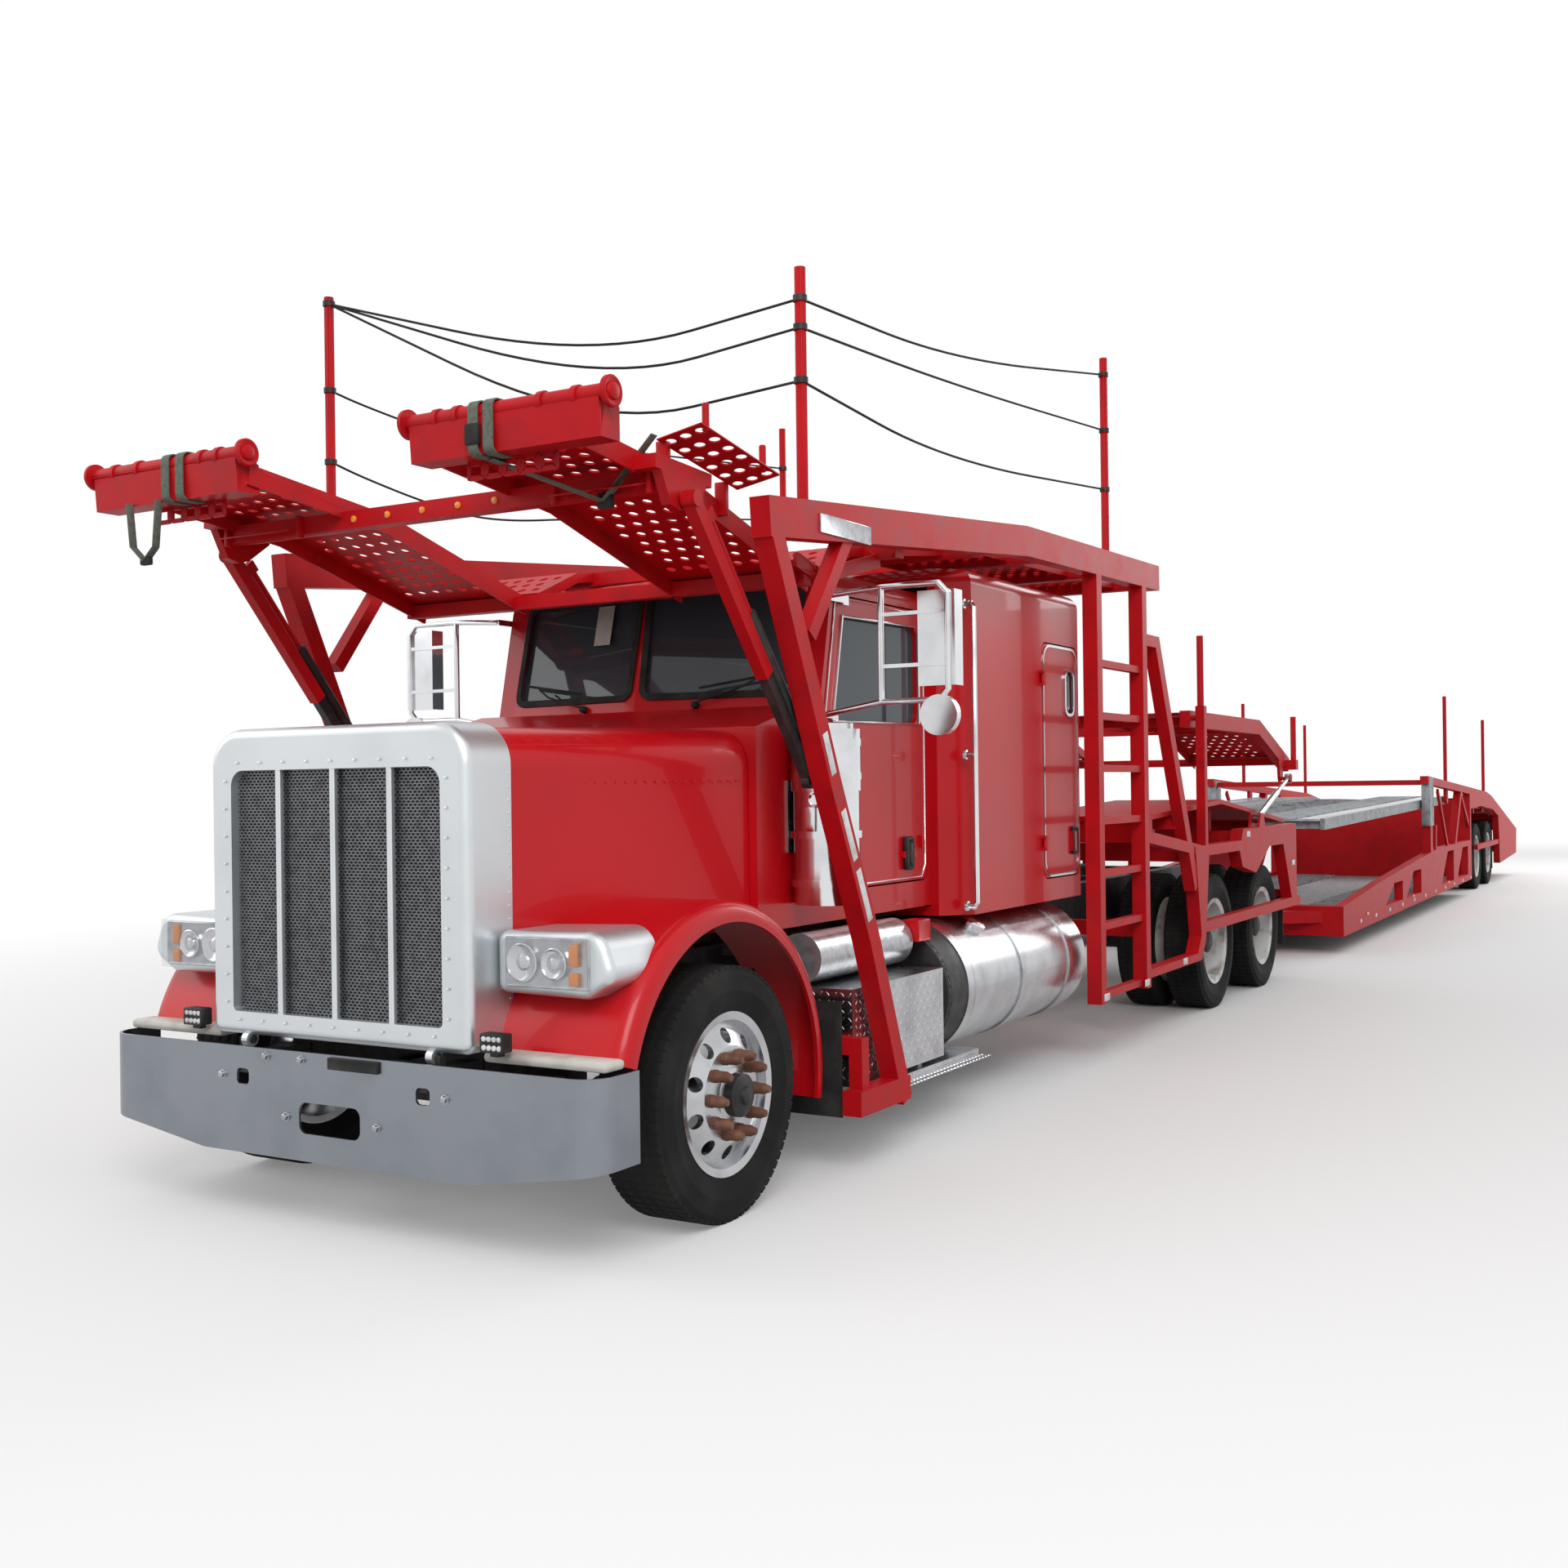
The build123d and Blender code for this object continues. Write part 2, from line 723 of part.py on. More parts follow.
def cab_block(inset, back):
    # cab and cowl as a solid, set in from its outside by the wall
    floor = cab_floor + inset
    roof = cab_roof - inset
    width = cab_half_width - inset
    front = 1475 + inset
    with BuildPart() as block:
        lean = screen_lean * (roof - cowl_height)
        profile = [
            (front, floor),
            (front, 1822 - inset),
            (screen_centre_station + inset, cowl_height - inset),
            (screen_centre_station + inset + lean, roof),
            (back, roof),
            (back, floor),
        ]
        extrude(side_face(profile, -width), amount=2 * width)
        roof_edges = block.edges().filter_by(Axis.Y).group_by(Axis.Z)[-1]
        fillet(roof_edges, radius=90 - inset)
        drop = screen_corner_station - screen_centre_station
        for side in (-1, 1):
            wedge = [
                (0, screen_centre_station - 300),
                (0, screen_centre_station + inset),
                (side * (screen_corner_half - inset), screen_corner_station + inset),
                (side * (width - 5), screen_corner_station + inset + 10),
                (side * (width + 60), screen_corner_station + inset + 10),
                (side * (width + 60), screen_centre_station - 300),
            ]
            extrude(
                plan_face(wedge, cowl_height - inset),
                amount=900,
                dir=(0, screen_lean, 1),
                mode=Mode.SUBTRACT,
            )
    return block.part


def screen_pane(side, inset, shift, thickness):
    # one of the two flat panes, on the sloping plane of its half of the screen
    inner = Vector(0, at(screen_centre_station), cowl_height)
    outer = Vector(side * screen_corner_half, at(screen_corner_station), cowl_height)
    across = (outer - inner).normalized()
    up = Vector(0, screen_lean, 1).normalized()
    normal = across.cross(up) * side
    width = (outer - inner).length
    foot = inner + (outer - inner) * 0.5 + Vector(0, screen_lean, 1) * screen_middle
    pane = Plane(origin=foot, x_dir=across * side, z_dir=normal)
    with BuildSketch(pane.offset(shift)) as face:
        RectangleRounded(width - screen_post - 2 * inset, screen_height - 2 * inset, 50 - inset)
    return extrude(face.sketch, amount=thickness)


def door_outline(inset):
    # door edge in the side view, upper front corner along the screen pillar
    return [
        (door_front_station + inset, 1110 + inset),
        (door_front_station + inset, 1870),
        (2150 + inset, 2425 - inset),
        (3070 - inset, 2425 - inset),
        (3070 - inset, 1110 + inset),
    ]


def door_window(inset):
    return [
        (2115 + inset, 1860 + inset),
        (2215 + inset, 2330 - inset),
        (2985 - inset, 2340 - inset),
        (2985 - inset, 1870 + inset),
    ]


def bunk_outline(inset):
    return [
        (bunk_front_station + inset, 1050 + inset),
        (bunk_front_station + inset, 2350 - inset),
        (4745 - inset, 2350 - inset),
        (4745 - inset, 1050 + inset),
    ]


def rounded_side(points, radius, x):
    # side-view face with its corners rounded
    with BuildSketch(Plane.YZ.offset(x)) as face:
        with BuildLine():
            Polyline(*outline(points), close=True)
        make_face()
        fillet(face.vertices(), radius=radius)
    return face.sketch


door_hinge_heights = (1260, 1720)
bunk_hinge_heights = (1250, 2150)
door_pin_radius = 6
door_hinge_out = 14
door_hinge_back = 12


def hinge_pins(side, wall, jamb_station, heights):
    # pins on brackets outside a shell, just ahead of a door's front jamb
    pins = Part()
    x = wall + door_hinge_out
    station = jamb_station - door_hinge_back
    for height in heights:
        bracket = sorted((side * (wall - 10), side * (x + 12)))
        for low, high in ((height - 42, height - 27), (height + 27, height + 42)):
            pins += block(bracket, (station - 22, station + 8), (low, high))
        pin = Cylinder(door_pin_radius, 84, mode=Mode.PRIVATE)
        pins += Pos(side * x, at(station), height) * pin
    return pins


def hinge_barrels(wall, jamb_station, heights):
    # barrels and straps on a door, for the left side
    barrels = Part()
    x = wall + door_hinge_out
    station = jamb_station - door_hinge_back
    for height in heights:
        barrel = Cylinder(11, 50, mode=Mode.PRIVATE)
        barrels += Pos(x, at(station), height) * barrel
        barrels += block((x - 8, x), (station, station + 70), (height - 25, height + 25))
        barrels += block((wall - 2, x), (jamb_station + 16, station + 70), (height - 25, height + 25))
        bore = Cylinder(door_pin_radius + hinge_clearance, 60, mode=Mode.PRIVATE)
        barrels -= Pos(x, at(station), height) * bore
    return barrels


# cab: hollow shell with its screen, doors and back wall open
with BuildPart() as cab_shell:
    add(cab_block(0, cab_back_station))
    add(cab_block(cab_wall, cab_back_station + 50), mode=Mode.SUBTRACT)
    for side in (-1, 1):
        start = side * (cab_half_width + 20)
        door_hole = rounded_side(door_outline(0), 50, start)
        extrude(door_hole, amount=-side * (cab_wall + 60), mode=Mode.SUBTRACT)
        add(screen_pane(side, 0, -120, 240), mode=Mode.SUBTRACT)
        add(hinge_pins(side, cab_half_width, door_front_station, door_hinge_heights))
    # visor over the screen
    visor = [
        (screen_centre_station - 150, cab_roof - 110),
        (screen_centre_station + 110, cab_roof - 22),
        (screen_centre_station + 300, cab_roof - 22),
        (screen_centre_station + 300, cab_roof - 34),
        (screen_centre_station + 112, cab_roof - 34),
        (screen_centre_station - 146, cab_roof - 122),
    ]
    extrude(side_face(visor, -screen_corner_half), amount=2 * screen_corner_half)
write("cab_shell", cab_shell.part)

with BuildPart() as cab_glass:
    for side in (-1, 1):
        add(screen_pane(side, 0.3, -24, 8))
write("cab_glass", cab_glass.part)


def sleeper_plan(inset):
    width = sleeper_half_width - inset
    return [
        (-940 + inset, cab_back_station),
        (940 - inset, cab_back_station),
        (width, cab_back_station + 140),
        (width, sleeper_back_station - 90 - inset),
        (width - 70, sleeper_back_station - inset),
        (70 - width, sleeper_back_station - inset),
        (-width, sleeper_back_station - 90 - inset),
        (-width, cab_back_station + 140),
    ]


def sleeper_block(inset):
    with BuildPart() as block:
        height = sleeper_roof - sleeper_floor - 2 * inset
        extrude(plan_face(sleeper_plan(inset), sleeper_floor + inset), amount=height)
        top = block.faces().sort_by(Axis.Z)[-1].edges()
        fillet(top, radius=80 - inset)
    return block.part


# sleeper: hollow box with a flared front, open to the cab
with BuildPart() as sleeper_shell:
    add(sleeper_block(0))
    add(sleeper_block(cab_wall), mode=Mode.SUBTRACT)
    pass_through = [
        (-700, cab_floor + cab_wall + 60),
        (700, cab_floor + cab_wall + 60),
        (700, cab_roof - cab_wall - 60),
        (-700, cab_roof - cab_wall - 60),
    ]
    with BuildSketch(Plane.XZ.offset(-at(cab_back_station) + 20)):
        with BuildLine():
            Polyline(*pass_through, close=True)
        make_face()
    extrude(amount=-(cab_wall + 60), mode=Mode.SUBTRACT)
    for side in (-1, 1):
        start = side * (sleeper_half_width + 20)
        hole = rounded_side(bunk_outline(0), 60, start)
        extrude(hole, amount=-side * (cab_wall + 60), mode=Mode.SUBTRACT)
        add(hinge_pins(side, sleeper_half_width, bunk_front_station, bunk_hinge_heights))
write("sleeper_shell", sleeper_shell.part)

# doors, their glass, the bunk doors and the mirrors, one set on each side
mirror_station = 2032
for side, sign in (("left", 1), ("right", -1)):
    with BuildPart() as door:
        face = rounded_side(door_outline(door_gap), 50 - door_gap, cab_half_width - cab_wall)
        extrude(face, amount=cab_wall)
        window = rounded_side(door_window(0), 60, cab_half_width - cab_wall - 20)
        extrude(window, amount=cab_wall + 40, mode=Mode.SUBTRACT)
        with Locations((cab_half_width + 9, at(2850), 1245)):
            Box(18, 130, 30)
        with Locations((cab_half_width + 9, at(2990), 1300)):
            Box(18, 24, 60)
        add(hinge_barrels(cab_half_width, door_front_station, door_hinge_heights))
    with BuildPart() as door_glass:
        pane = rounded_side(door_window(0.3), 59.7, cab_half_width - 30)
        extrude(pane, amount=6)
    with BuildPart() as bunk_door:
        face = rounded_side(bunk_outline(door_gap), 60 - door_gap, sleeper_half_width - cab_wall)
        extrude(face, amount=cab_wall)
        with Locations((sleeper_half_width + 8, at(4640), 1245)):
            Box(16, 60, 110)
        slot = [(4530, 1960), (4530, 2210), (4660, 2210), (4660, 1960)]
        recess = rounded_side(slot, 50, sleeper_half_width - 12)
        extrude(recess, amount=20, mode=Mode.SUBTRACT)
        add(hinge_barrels(sleeper_half_width, bunk_front_station, bunk_hinge_heights))
    with BuildPart() as mirror_set:
        # tube loop out from the door's front edge, with the tall and the round glass
        tube_radius = 13
        loop = [
            # across, height
            (cab_half_width + 18, 1885),
            (1190, 1930),
            (1460, 1930),
            (1500, 1975),
            (1500, 2375),
            (1460, 2418),
            (1190, 2418),
            (cab_half_width + 18, 2400),
        ]
        loop_plane = Plane(origin=(0, at(mirror_station), 0), x_dir=(1, 0, 0), z_dir=(0, -1, 0))
        for begin, finish in zip(loop[:-1], loop[1:]):
            start_point = loop_plane.from_local_coords(Vector(*begin, 0))
            run = loop_plane.from_local_coords(Vector(*finish, 0)) - start_point
            with BuildSketch(Plane(origin=start_point, z_dir=run)):
                Circle(tube_radius)
            extrude(amount=run.length)
            with Locations(start_point):
                Sphere(tube_radius)
        with BuildSketch(Plane.XY.offset(1930)):
            with Locations((1190, at(mirror_station))):
                Circle(tube_radius)
        extrude(amount=488)
        add(block((1360, 1530), (mirror_station + 6, mirror_station + 86), (1990, 2390)))
        for height in (2080, 2300):
            add(block((1190, 1500), (mirror_station - 8, mirror_station + 8), (height - 8, height + 8)))
        with BuildSketch(loop_plane.offset(-20)):
            with Locations((1462, 1866)):
                Circle(85)
        extrude(amount=40)
        # feet that run back along the door from the loop's ends
        for height in (1885, 2400):
            reach = door_front_station + 100 + max(0.0, (height - 1870) * 120 / 555)
            add(block((cab_half_width + 6, cab_half_width + 24), (mirror_station - 8, reach), (height - 14, height + 14)))
            add(block((cab_half_width, cab_half_width + 24), (reach - 50, reach), (height - 22, height + 22)))
    for piece, name in (
        (door, "door"),
        (door_glass, "door_glass"),
        (bunk_door, "bunk_door"),
        (mirror_set, "mirrors"),
    ):
        solid = piece.part if sign > 0 else mirror(piece.part, about=Plane.YZ)
        write(f"{name}_{side}", solid)

# cab furniture on one floor plate: seats, dash, wheel and bunk
with BuildPart() as cab_interior:
    floor_top = cab_floor + cab_wall
    with Locations((0, at(2500), floor_top + 10)):
        Box(1500, 1150, 20)
    for side in (-1, 1):
        with Locations((side * 430, at(2680), floor_top + 190)):
            Box(380, 380, 360)
        with Locations((side * 430, at(2660), floor_top + 420)):
            Box(520, 540, 130)
        back = [(2840, floor_top + 420), (2960, floor_top + 1100), (3060, floor_top + 1100), (2960, floor_top + 380)]
        extrude(side_face(back, side * 430 - 250), amount=500)
    dash = [
        (1935, floor_top + 10),
        (1935, floor_top + 760),
        (2150, floor_top + 760),
        (2230, floor_top + 640),
        (2080, floor_top + 300),
        (2080, floor_top + 10),
    ]
    extrude(side_face(dash, -780), amount=1560)
    column = side_rod(430, (2120, floor_top + 520), (2330, floor_top + 655), 28)
    add(column)
    wheel_plane_tilt = Plane(origin=(430, at(2330), floor_top + 655), z_dir=(0, 210, 135))
    with BuildSketch(wheel_plane_tilt):
        Circle(225)
        Circle(195, mode=Mode.SUBTRACT)
        Rectangle(400, 30)
    extrude(amount=24)
write("cab_interior", cab_interior.part)

# air cleaners beside the cowl
cleaner_x = 1048
cleaner_station = 1790
with BuildPart() as air_cleaners:
    with BuildSketch(Plane.XY.offset(1085)):
        with Locations((cleaner_x, at(cleaner_station))):
            Circle(140)
    extrude(amount=470)
    with BuildSketch(Plane.XY.offset(1555)):
        with Locations((cleaner_x, at(cleaner_station))):
            Circle(148)
    extrude(amount=255)
    with Locations((cleaner_x, at(cleaner_station), 1810)):
        with Locations((0, 0, 12)):
            Cylinder(120, 24)
    with Locations((cab_half_width + 4, at(cleaner_station), 1450)):
        Box(8, 160, 300)
    mirror(about=Plane.YZ)
write("air_cleaners", air_cleaners.part)

# fuel tanks on their straps
tank_radius = 315
tank_height = 600
tank_x = 860
with BuildPart() as fuel_tanks:
    with BuildSketch(Plane.XZ.offset(-at(4550))):
        with Locations((tank_x, tank_height)):
            Circle(tank_radius)
    extrude(amount=1850)
    chamfer(fuel_tanks.edges().filter_by(GeomType.CIRCLE), length=18)
    for station in (2950, 3625, 4300):
        with BuildSketch(Plane.XZ.offset(-at(station + 35))):
            with Locations((tank_x, tank_height)):
                Circle(tank_radius + 8)
        extrude(amount=70)
        bracket = [
            (rail_half_spacing + 40, 640),
            (rail_half_spacing + 40, 860),
            (tank_x - 100, 860),
            (tank_x - 250, 640),
        ]
        with BuildSketch(Plane.XZ.offset(-at(station + 35))):
            with BuildLine():
                Polyline(*bracket, close=True)
            make_face()
        extrude(amount=70)
    mirror(about=Plane.YZ)
write("fuel_tanks", fuel_tanks.part)

# tread boxes with their steps
step_front = 1730
with BuildPart() as step_boxes:
    add(block((620, 1190), (step_front, 2610), (340, 740)))
    add(block((rail_half_spacing + 40, 620), (1900, 2440), (640, 740)))
    add(block((1030, 1195), (2120, 2990), (282, 318)))
    for station in (2250, 2500):
        add(block((1080, 1120), (station - 20, station + 20), (300, 345)))
    mirror(about=Plane.YZ)
write("step_boxes", step_boxes.part)

# air tanks under the cab and the exhaust pipes
with BuildPart() as tanks_and_exhaust:
    add(side_rod(960, (1700, 860), (2560, 860), 105))
    for station in (1900, 2400):
        add(block((rail_half_spacing + 40, 920), (station - 30, station + 30), (840, 880)))
    add(side_rod(610, (5000, 560), (6180, 560), 62))
    add(block((rail_half_spacing + 40, 600), (5560, 5640), (600, 660)))
    mirror(about=Plane.YZ)
write("tanks_and_exhaust", tanks_and_exhaust.part)

# deck over the cab, which the posts are cut to meet
rail_depth = 150
rail_line = [(950, 2563), (3457, 2785), (5600, 2825)]
runway_line = [(1740, 2480), (2030, 2604), (3457, 2780), (5600, 2815)]
rail_under = band(rail_line, rail_depth)[len(rail_line):][::-1]


def above_rail():
    # everything over the underside of the deck's rails
    over = [(800, line_height(rail_under, 800)), *rail_under[1:], (5600, 3200), (800, 3200)]
    return extrude(side_face(over, 0), amount=body_half_width + 10)


# front posts of the rack, with the foot pins of the lift
foot_pin_radius = 15
pin_clearance = 0.3
head_eye_slack = 5
deck_eye_slack = 11
keeper_radius = 30
keeper_thickness = 6
keeper_gap = 1
prop_inner = 1150
prop_outer = 1200
front_post = [(2020, 250), (1740, 950), (1430, 1580), (970, 2587)]
gusset_line = [(1270, 2150), (1640, 2640)]
cross_piece_station = 1658
with BuildPart() as rack_posts:
    extrude(side_face(band(front_post, 84), rack_inner), amount=rig_plate)
    extrude(side_face(band(gusset_line, 60), rack_inner + 10), amount=rig_plate - 20)
    add(above_rail(), mode=Mode.SUBTRACT)
    add(block((rack_inner, body_half_width), (1600, 2050), (250, 350)))
    add(block((rack_inner, rack_inner + 60), (cross_piece_station, cross_piece_station + 60), (300, 555)))
    outer_end = rack_inner + 30
    add(block((rail_half_spacing + 40, outer_end), (cross_piece_station, cross_piece_station + 60), (485, 555)))
    add(side_disc(prop_inner, prop_foot_station, prop_foot_height, foot_pin_radius, rack_inner - prop_inner))
    mirror(about=Plane.YZ)
write("rack_posts", rack_posts.part)

# deck over the cab: side rails, cross tubes on hangers, runways and load poles
pole_radius = 22
pole_x = body_half_width - rig_plate / 2
deck_poles = [
    # side, station, height of the top
    (1, 1265, 3560),
    (-1, 1265, 3860),
    (1, 4740, 3990),
    (-1, 5390, 4020),
]
pivot_plate_x = 1095
with BuildPart() as overcab_deck:
    extrude(side_face(band(rail_line, rail_depth), rack_inner), amount=rig_plate)
    extrude(side_face(band(runway_line, runway_plate), runway_inner), amount=runway_outer - runway_inner)
    for x in (runway_inner, runway_outer - 10):
        skirt = [(s, h - 22) for s, h in runway_line]
        extrude(side_face(band(skirt, 44), x), amount=10)
    for station in (2180, 3000, 3800, 4700, 5500):
        top = line_height(runway_line, station) - 3
        add(block((0, rack_inner), (station - 30, station + 30), (top - 60, top)))
        add(block((rack_inner - 20, rack_inner), (station - 40, station + 40), (top - 60, line_height(rail_line, station))))
    add(side_disc(pivot_plate_x, ramp_pivot_station, ramp_pivot_height, 42, 20))
    extrude(side_face(band([(ramp_pivot_station, ramp_pivot_height), (2180, 2555)], 60), pivot_plate_x), amount=20)
    pivot_bore = side_disc(pivot_plate_x - 5, ramp_pivot_station, ramp_pivot_height, 20 + pin_clearance, 30)
    add(pivot_bore, mode=Mode.SUBTRACT)
    mirror(about=Plane.YZ)
    for side, station, top in deck_poles:
        foot = line_height(rail_line, station)
        with BuildSketch(Plane.XY.offset(foot)):
            with Locations((side * pole_x, at(station))):
                Circle(pole_radius)
        extrude(amount=top - foot)
write("overcab_deck", overcab_deck.part)

# ladders behind the cab: posts, rungs and the braces down to the side plates
deck_pin_radius = 18
lift_foot = (8050, 1290)
lift_eye = (9060, 1590)
side_plate = [
    (5320, 450),
    (6330, 450),
    (6420, 560),
    (6330, 1010),
    (6300, 1150),
    (7450, 1150),
    (7500, 1230),
    (9130, 1230),
    (9130, 640),
    (8960, 640),
    (8700, 1080),
    (8270, 1080),
    (7850, 900),
    (7480, 960),
    (7400, 1080),
    (6620, 1080),
    (6520, 520),
    (6420, 400),
    (5320, 400),
]
flat_deck = [(5560, 1350), (7290, 1430), (9130, 1250)]
body_tubes = [
    # station, height of the underside, height of the top
    (6350, 1050, 1170),
    (7700, 1090, 1210),
    (9080, 1090, 1210),
]
rung_heights = (385, 770, 1065, 1360, 1655, 1950, 2245)
with BuildPart() as rack_ladders:
    for station in (4500, 5300):
        corners = [station - 40, station + 40]
        post = [(s, line_height(rail_under, s)) for s in corners] + [(corners[1], 345), (corners[0], 345)]
        extrude(side_face(post, rack_inner), amount=rig_plate)
    for height in rung_heights:
        add(block((rack_inner + 18, rack_inner + 67), (4500, 5300), (height - 20, height + 20)))
    extrude(side_face(band([(5560, 2440), (6345, 880)], 90), rack_inner + 5), amount=rig_plate - 10)
    extrude(side_face(band([(5320, 2430), (5600, 2430)], 70), rack_inner + 5), amount=rig_plate - 10)
    mirror(about=Plane.YZ)
write("rack_ladders", rack_ladders.part)

# side plates of the body with the stakes that carry the hump deck's pins
with BuildPart() as body_sides:
    extrude(side_face(band([(5300, 1250), (6450, 1120)], 70), rack_inner + 5), amount=rig_plate - 10)
    extrude(side_face(side_plate, rack_inner), amount=rig_plate)
    extrude(side_face(band([(6480, 610), (9250, 610)], 70), rack_inner + 20), amount=rig_plate - 20)
    add(block((pole_x - 28, pole_x + 32), (deck_pivot_station - 30, deck_pivot_station + 30), (1100, 2080)))
    add(side_disc(1120, deck_pivot_station, deck_pivot_height, deck_pin_radius, pole_x - 1120))
    with BuildSketch(Plane.XY.offset(2080)):
        with Locations((pole_x, at(deck_pivot_station))):
            Circle(pole_radius)
    extrude(amount=470)
    for x in (rack_inner, body_half_width - 16):
        ear = [(7960, 1220), (8010, 1335), (8090, 1335), (8140, 1220)]
        extrude(side_face(ear, x), amount=16)
    add(side_disc(rack_inner, *lift_foot, foot_pin_radius, rig_plate))
    mirror(about=Plane.YZ)
    add(rack_ladders.part, mode=Mode.SUBTRACT)
write("body_sides", body_sides.part)

# flat deck and the cross tubes that join the side plates to the chassis
with BuildPart() as rear_body:
    add(block((rail_half_spacing + 40, rack_inner + 20), (5270, 5330), (650, 740)))
    add(block((0, rack_inner + 20), (6090, 6170), (1270, 1350)))
    add(block((0, rack_inner + 5), (5590, 5650), (1200, 1340)))
    add(block((rail_half_spacing + 40, rack_inner + 5), (9070, 9130), (640, 700)))
    extrude(side_face(band(flat_deck, 30), runway_inner), amount=rack_inner - 10 - runway_inner)
    for station, low, high in body_tubes:
        add(block((0, rack_inner + 5), (station - 50, station + 50), (low, high)))
        add(block((rail_half_spacing - 40, rail_half_spacing + 40), (station - 45, station + 45), (rail_bottom + rail_height, low)))
        add(block((600, 1000), (station - 30, station + 30), (high - 10, line_height(flat_deck, station))))
    mirror(about=Plane.YZ)
    add(rack_ladders.part, mode=Mode.SUBTRACT)
    add(body_sides.part, mode=Mode.SUBTRACT)
write("rear_body", rear_body.part)

# mudflaps behind the steer and the drive wheels
with BuildPart() as mudflaps:
    add(block((620, 1180), (cross_piece_station - 8, cross_piece_station), (230, 700)))
    add(block((620, 1180), (9130, 9138), (260, 700)))
    mirror(about=Plane.YZ)
write("mudflaps", mudflaps.part)

# head ramp: two dipped runways, cross tubes, folded flaps and the lift's lugs
ramp_line = [(60, 2790), (780, 2700), (1660, 2440)]
with BuildPart() as head_ramp:
    extrude(side_face(band(ramp_line, runway_plate), runway_inner), amount=runway_outer - runway_inner)
    for x in (runway_inner, runway_outer - 10):
        skirt = [(s, h - 32) for s, h in ramp_line]
        extrude(side_face(band(skirt, 76), x), amount=10)
    # folded flap at the front edge: a box under a round tube
    flap = [(14, 2690), (4, 2815), (60, 2835), (115, 2800), (115, 2690)]
    extrude(side_face(flap, 430), amount=805)
    add(side_disc(410, 34, 2832, 30, 845))
    lug = [(470, 2700), (540, 2560), (600, 2545), (650, 2560), (760, 2640), (780, 2700)]
    extrude(side_face(lug, prop_inner - 50), amount=40)
    extrude(side_face(band([(450, 2700), (800, 2680)], 50), runway_outer - 10), amount=prop_inner - runway_outer)
    keeper_x = prop_outer + keeper_gap
    add(side_disc(prop_inner - 50, prop_top_station, prop_top_height, foot_pin_radius, keeper_x - prop_inner + 50))
    add(side_disc(keeper_x, prop_top_station, prop_top_height, keeper_radius, keeper_thickness))
    add(block((0, 1100), (525, 595), (2615, 2685)))
    add(block((0, 1080), (1570, 1630), (2390, 2450)))
    extrude(side_face(band([(1500, 2485), (ramp_pivot_station, ramp_pivot_height)], 60), 1070), amount=20)
    add(side_disc(0, ramp_pivot_station, ramp_pivot_height, 24, 1090))
    add(side_disc(0, ramp_pivot_station, ramp_pivot_height, 20, pivot_plate_x + 24))
    mirror(about=Plane.YZ)
write("head_ramp", head_ramp.part)


def along(start, finish, share, aside=0.0):
    # point at a share of the way between two side-view points, set aside towards the rear
    run = Vector(*finish) - Vector(*start)
    length = run.length
    return (
        start[0] + run.X * share + run.Y / length * aside,
        start[1] + run.Y * share - run.X / length * aside,
    )


# lift of the head ramp: a telescoping prop with its cylinder behind it
prop_foot = (prop_foot_station, prop_foot_height)
prop_top = (prop_top_station, prop_top_height)
prop_x = (prop_inner + prop_outer) / 2
cylinder_offset = 62
tube_across = 38
tube_width = 44
slide_clearance = 1
prop_rod_radius = 12
with BuildPart() as lift_lower:
    inner_tube = [prop_foot, along(prop_foot, prop_top, 0.7)]
    extrude(side_face(band(inner_tube, tube_width), prop_x - tube_across / 2), amount=tube_across)
    foot_plate = [prop_foot, along(prop_foot, prop_top, 0.03, cylinder_offset)]
    extrude(side_face(band(foot_plate, 60), prop_x - tube_across / 2), amount=tube_across)
    add(side_disc(prop_x - tube_across / 2, *prop_foot, 34, tube_across))
    barrel_foot = along(prop_foot, prop_top, 0.02, cylinder_offset)
    barrel_top = along(prop_foot, prop_top, 0.59, cylinder_offset)
    add(side_rod(prop_x, barrel_foot, barrel_top, 25))
    bore_foot = along(prop_foot, prop_top, 0.3, cylinder_offset)
    bore_top = along(prop_foot, prop_top, 0.62, cylinder_offset)
    add(side_rod(prop_x, bore_foot, bore_top, prop_rod_radius + pin_clearance), mode=Mode.SUBTRACT)
    add(side_disc(prop_inner - 5, *prop_foot, foot_pin_radius + pin_clearance, 70), mode=Mode.SUBTRACT)
    mirror(about=Plane.YZ)
write("lift_lower", lift_lower.part)

with BuildPart() as lift_upper:
    sleeve = [along(prop_foot, prop_top, 0.4), prop_top]
    extrude(side_face(band(sleeve, 56), prop_inner), amount=prop_outer - prop_inner)
    add(side_disc(prop_inner, *prop_top, 32, prop_outer - prop_inner))
    hollow = [along(prop_foot, prop_top, 0.38), along(prop_foot, prop_top, 0.88)]
    across = tube_across + 2 * slide_clearance
    hollow_face = side_face(band(hollow, tube_width + 2 * slide_clearance), prop_x - across / 2)
    extrude(hollow_face, amount=across, mode=Mode.SUBTRACT)
    rod_foot = along(prop_foot, prop_top, 0.45, cylinder_offset)
    rod_top = along(prop_foot, prop_top, 0.93, cylinder_offset)
    add(side_rod(prop_x, rod_foot, rod_top, prop_rod_radius))
    head_plate = [along(prop_foot, prop_top, 0.92), along(prop_foot, prop_top, 0.92, cylinder_offset + 20)]
    extrude(side_face(band(head_plate, 50), prop_x - 15), amount=30)
    add(side_disc(prop_inner - 5, *prop_top, foot_pin_radius + head_eye_slack, 70), mode=Mode.SUBTRACT)
    mirror(about=Plane.YZ)
write("lift_upper", lift_upper.part)

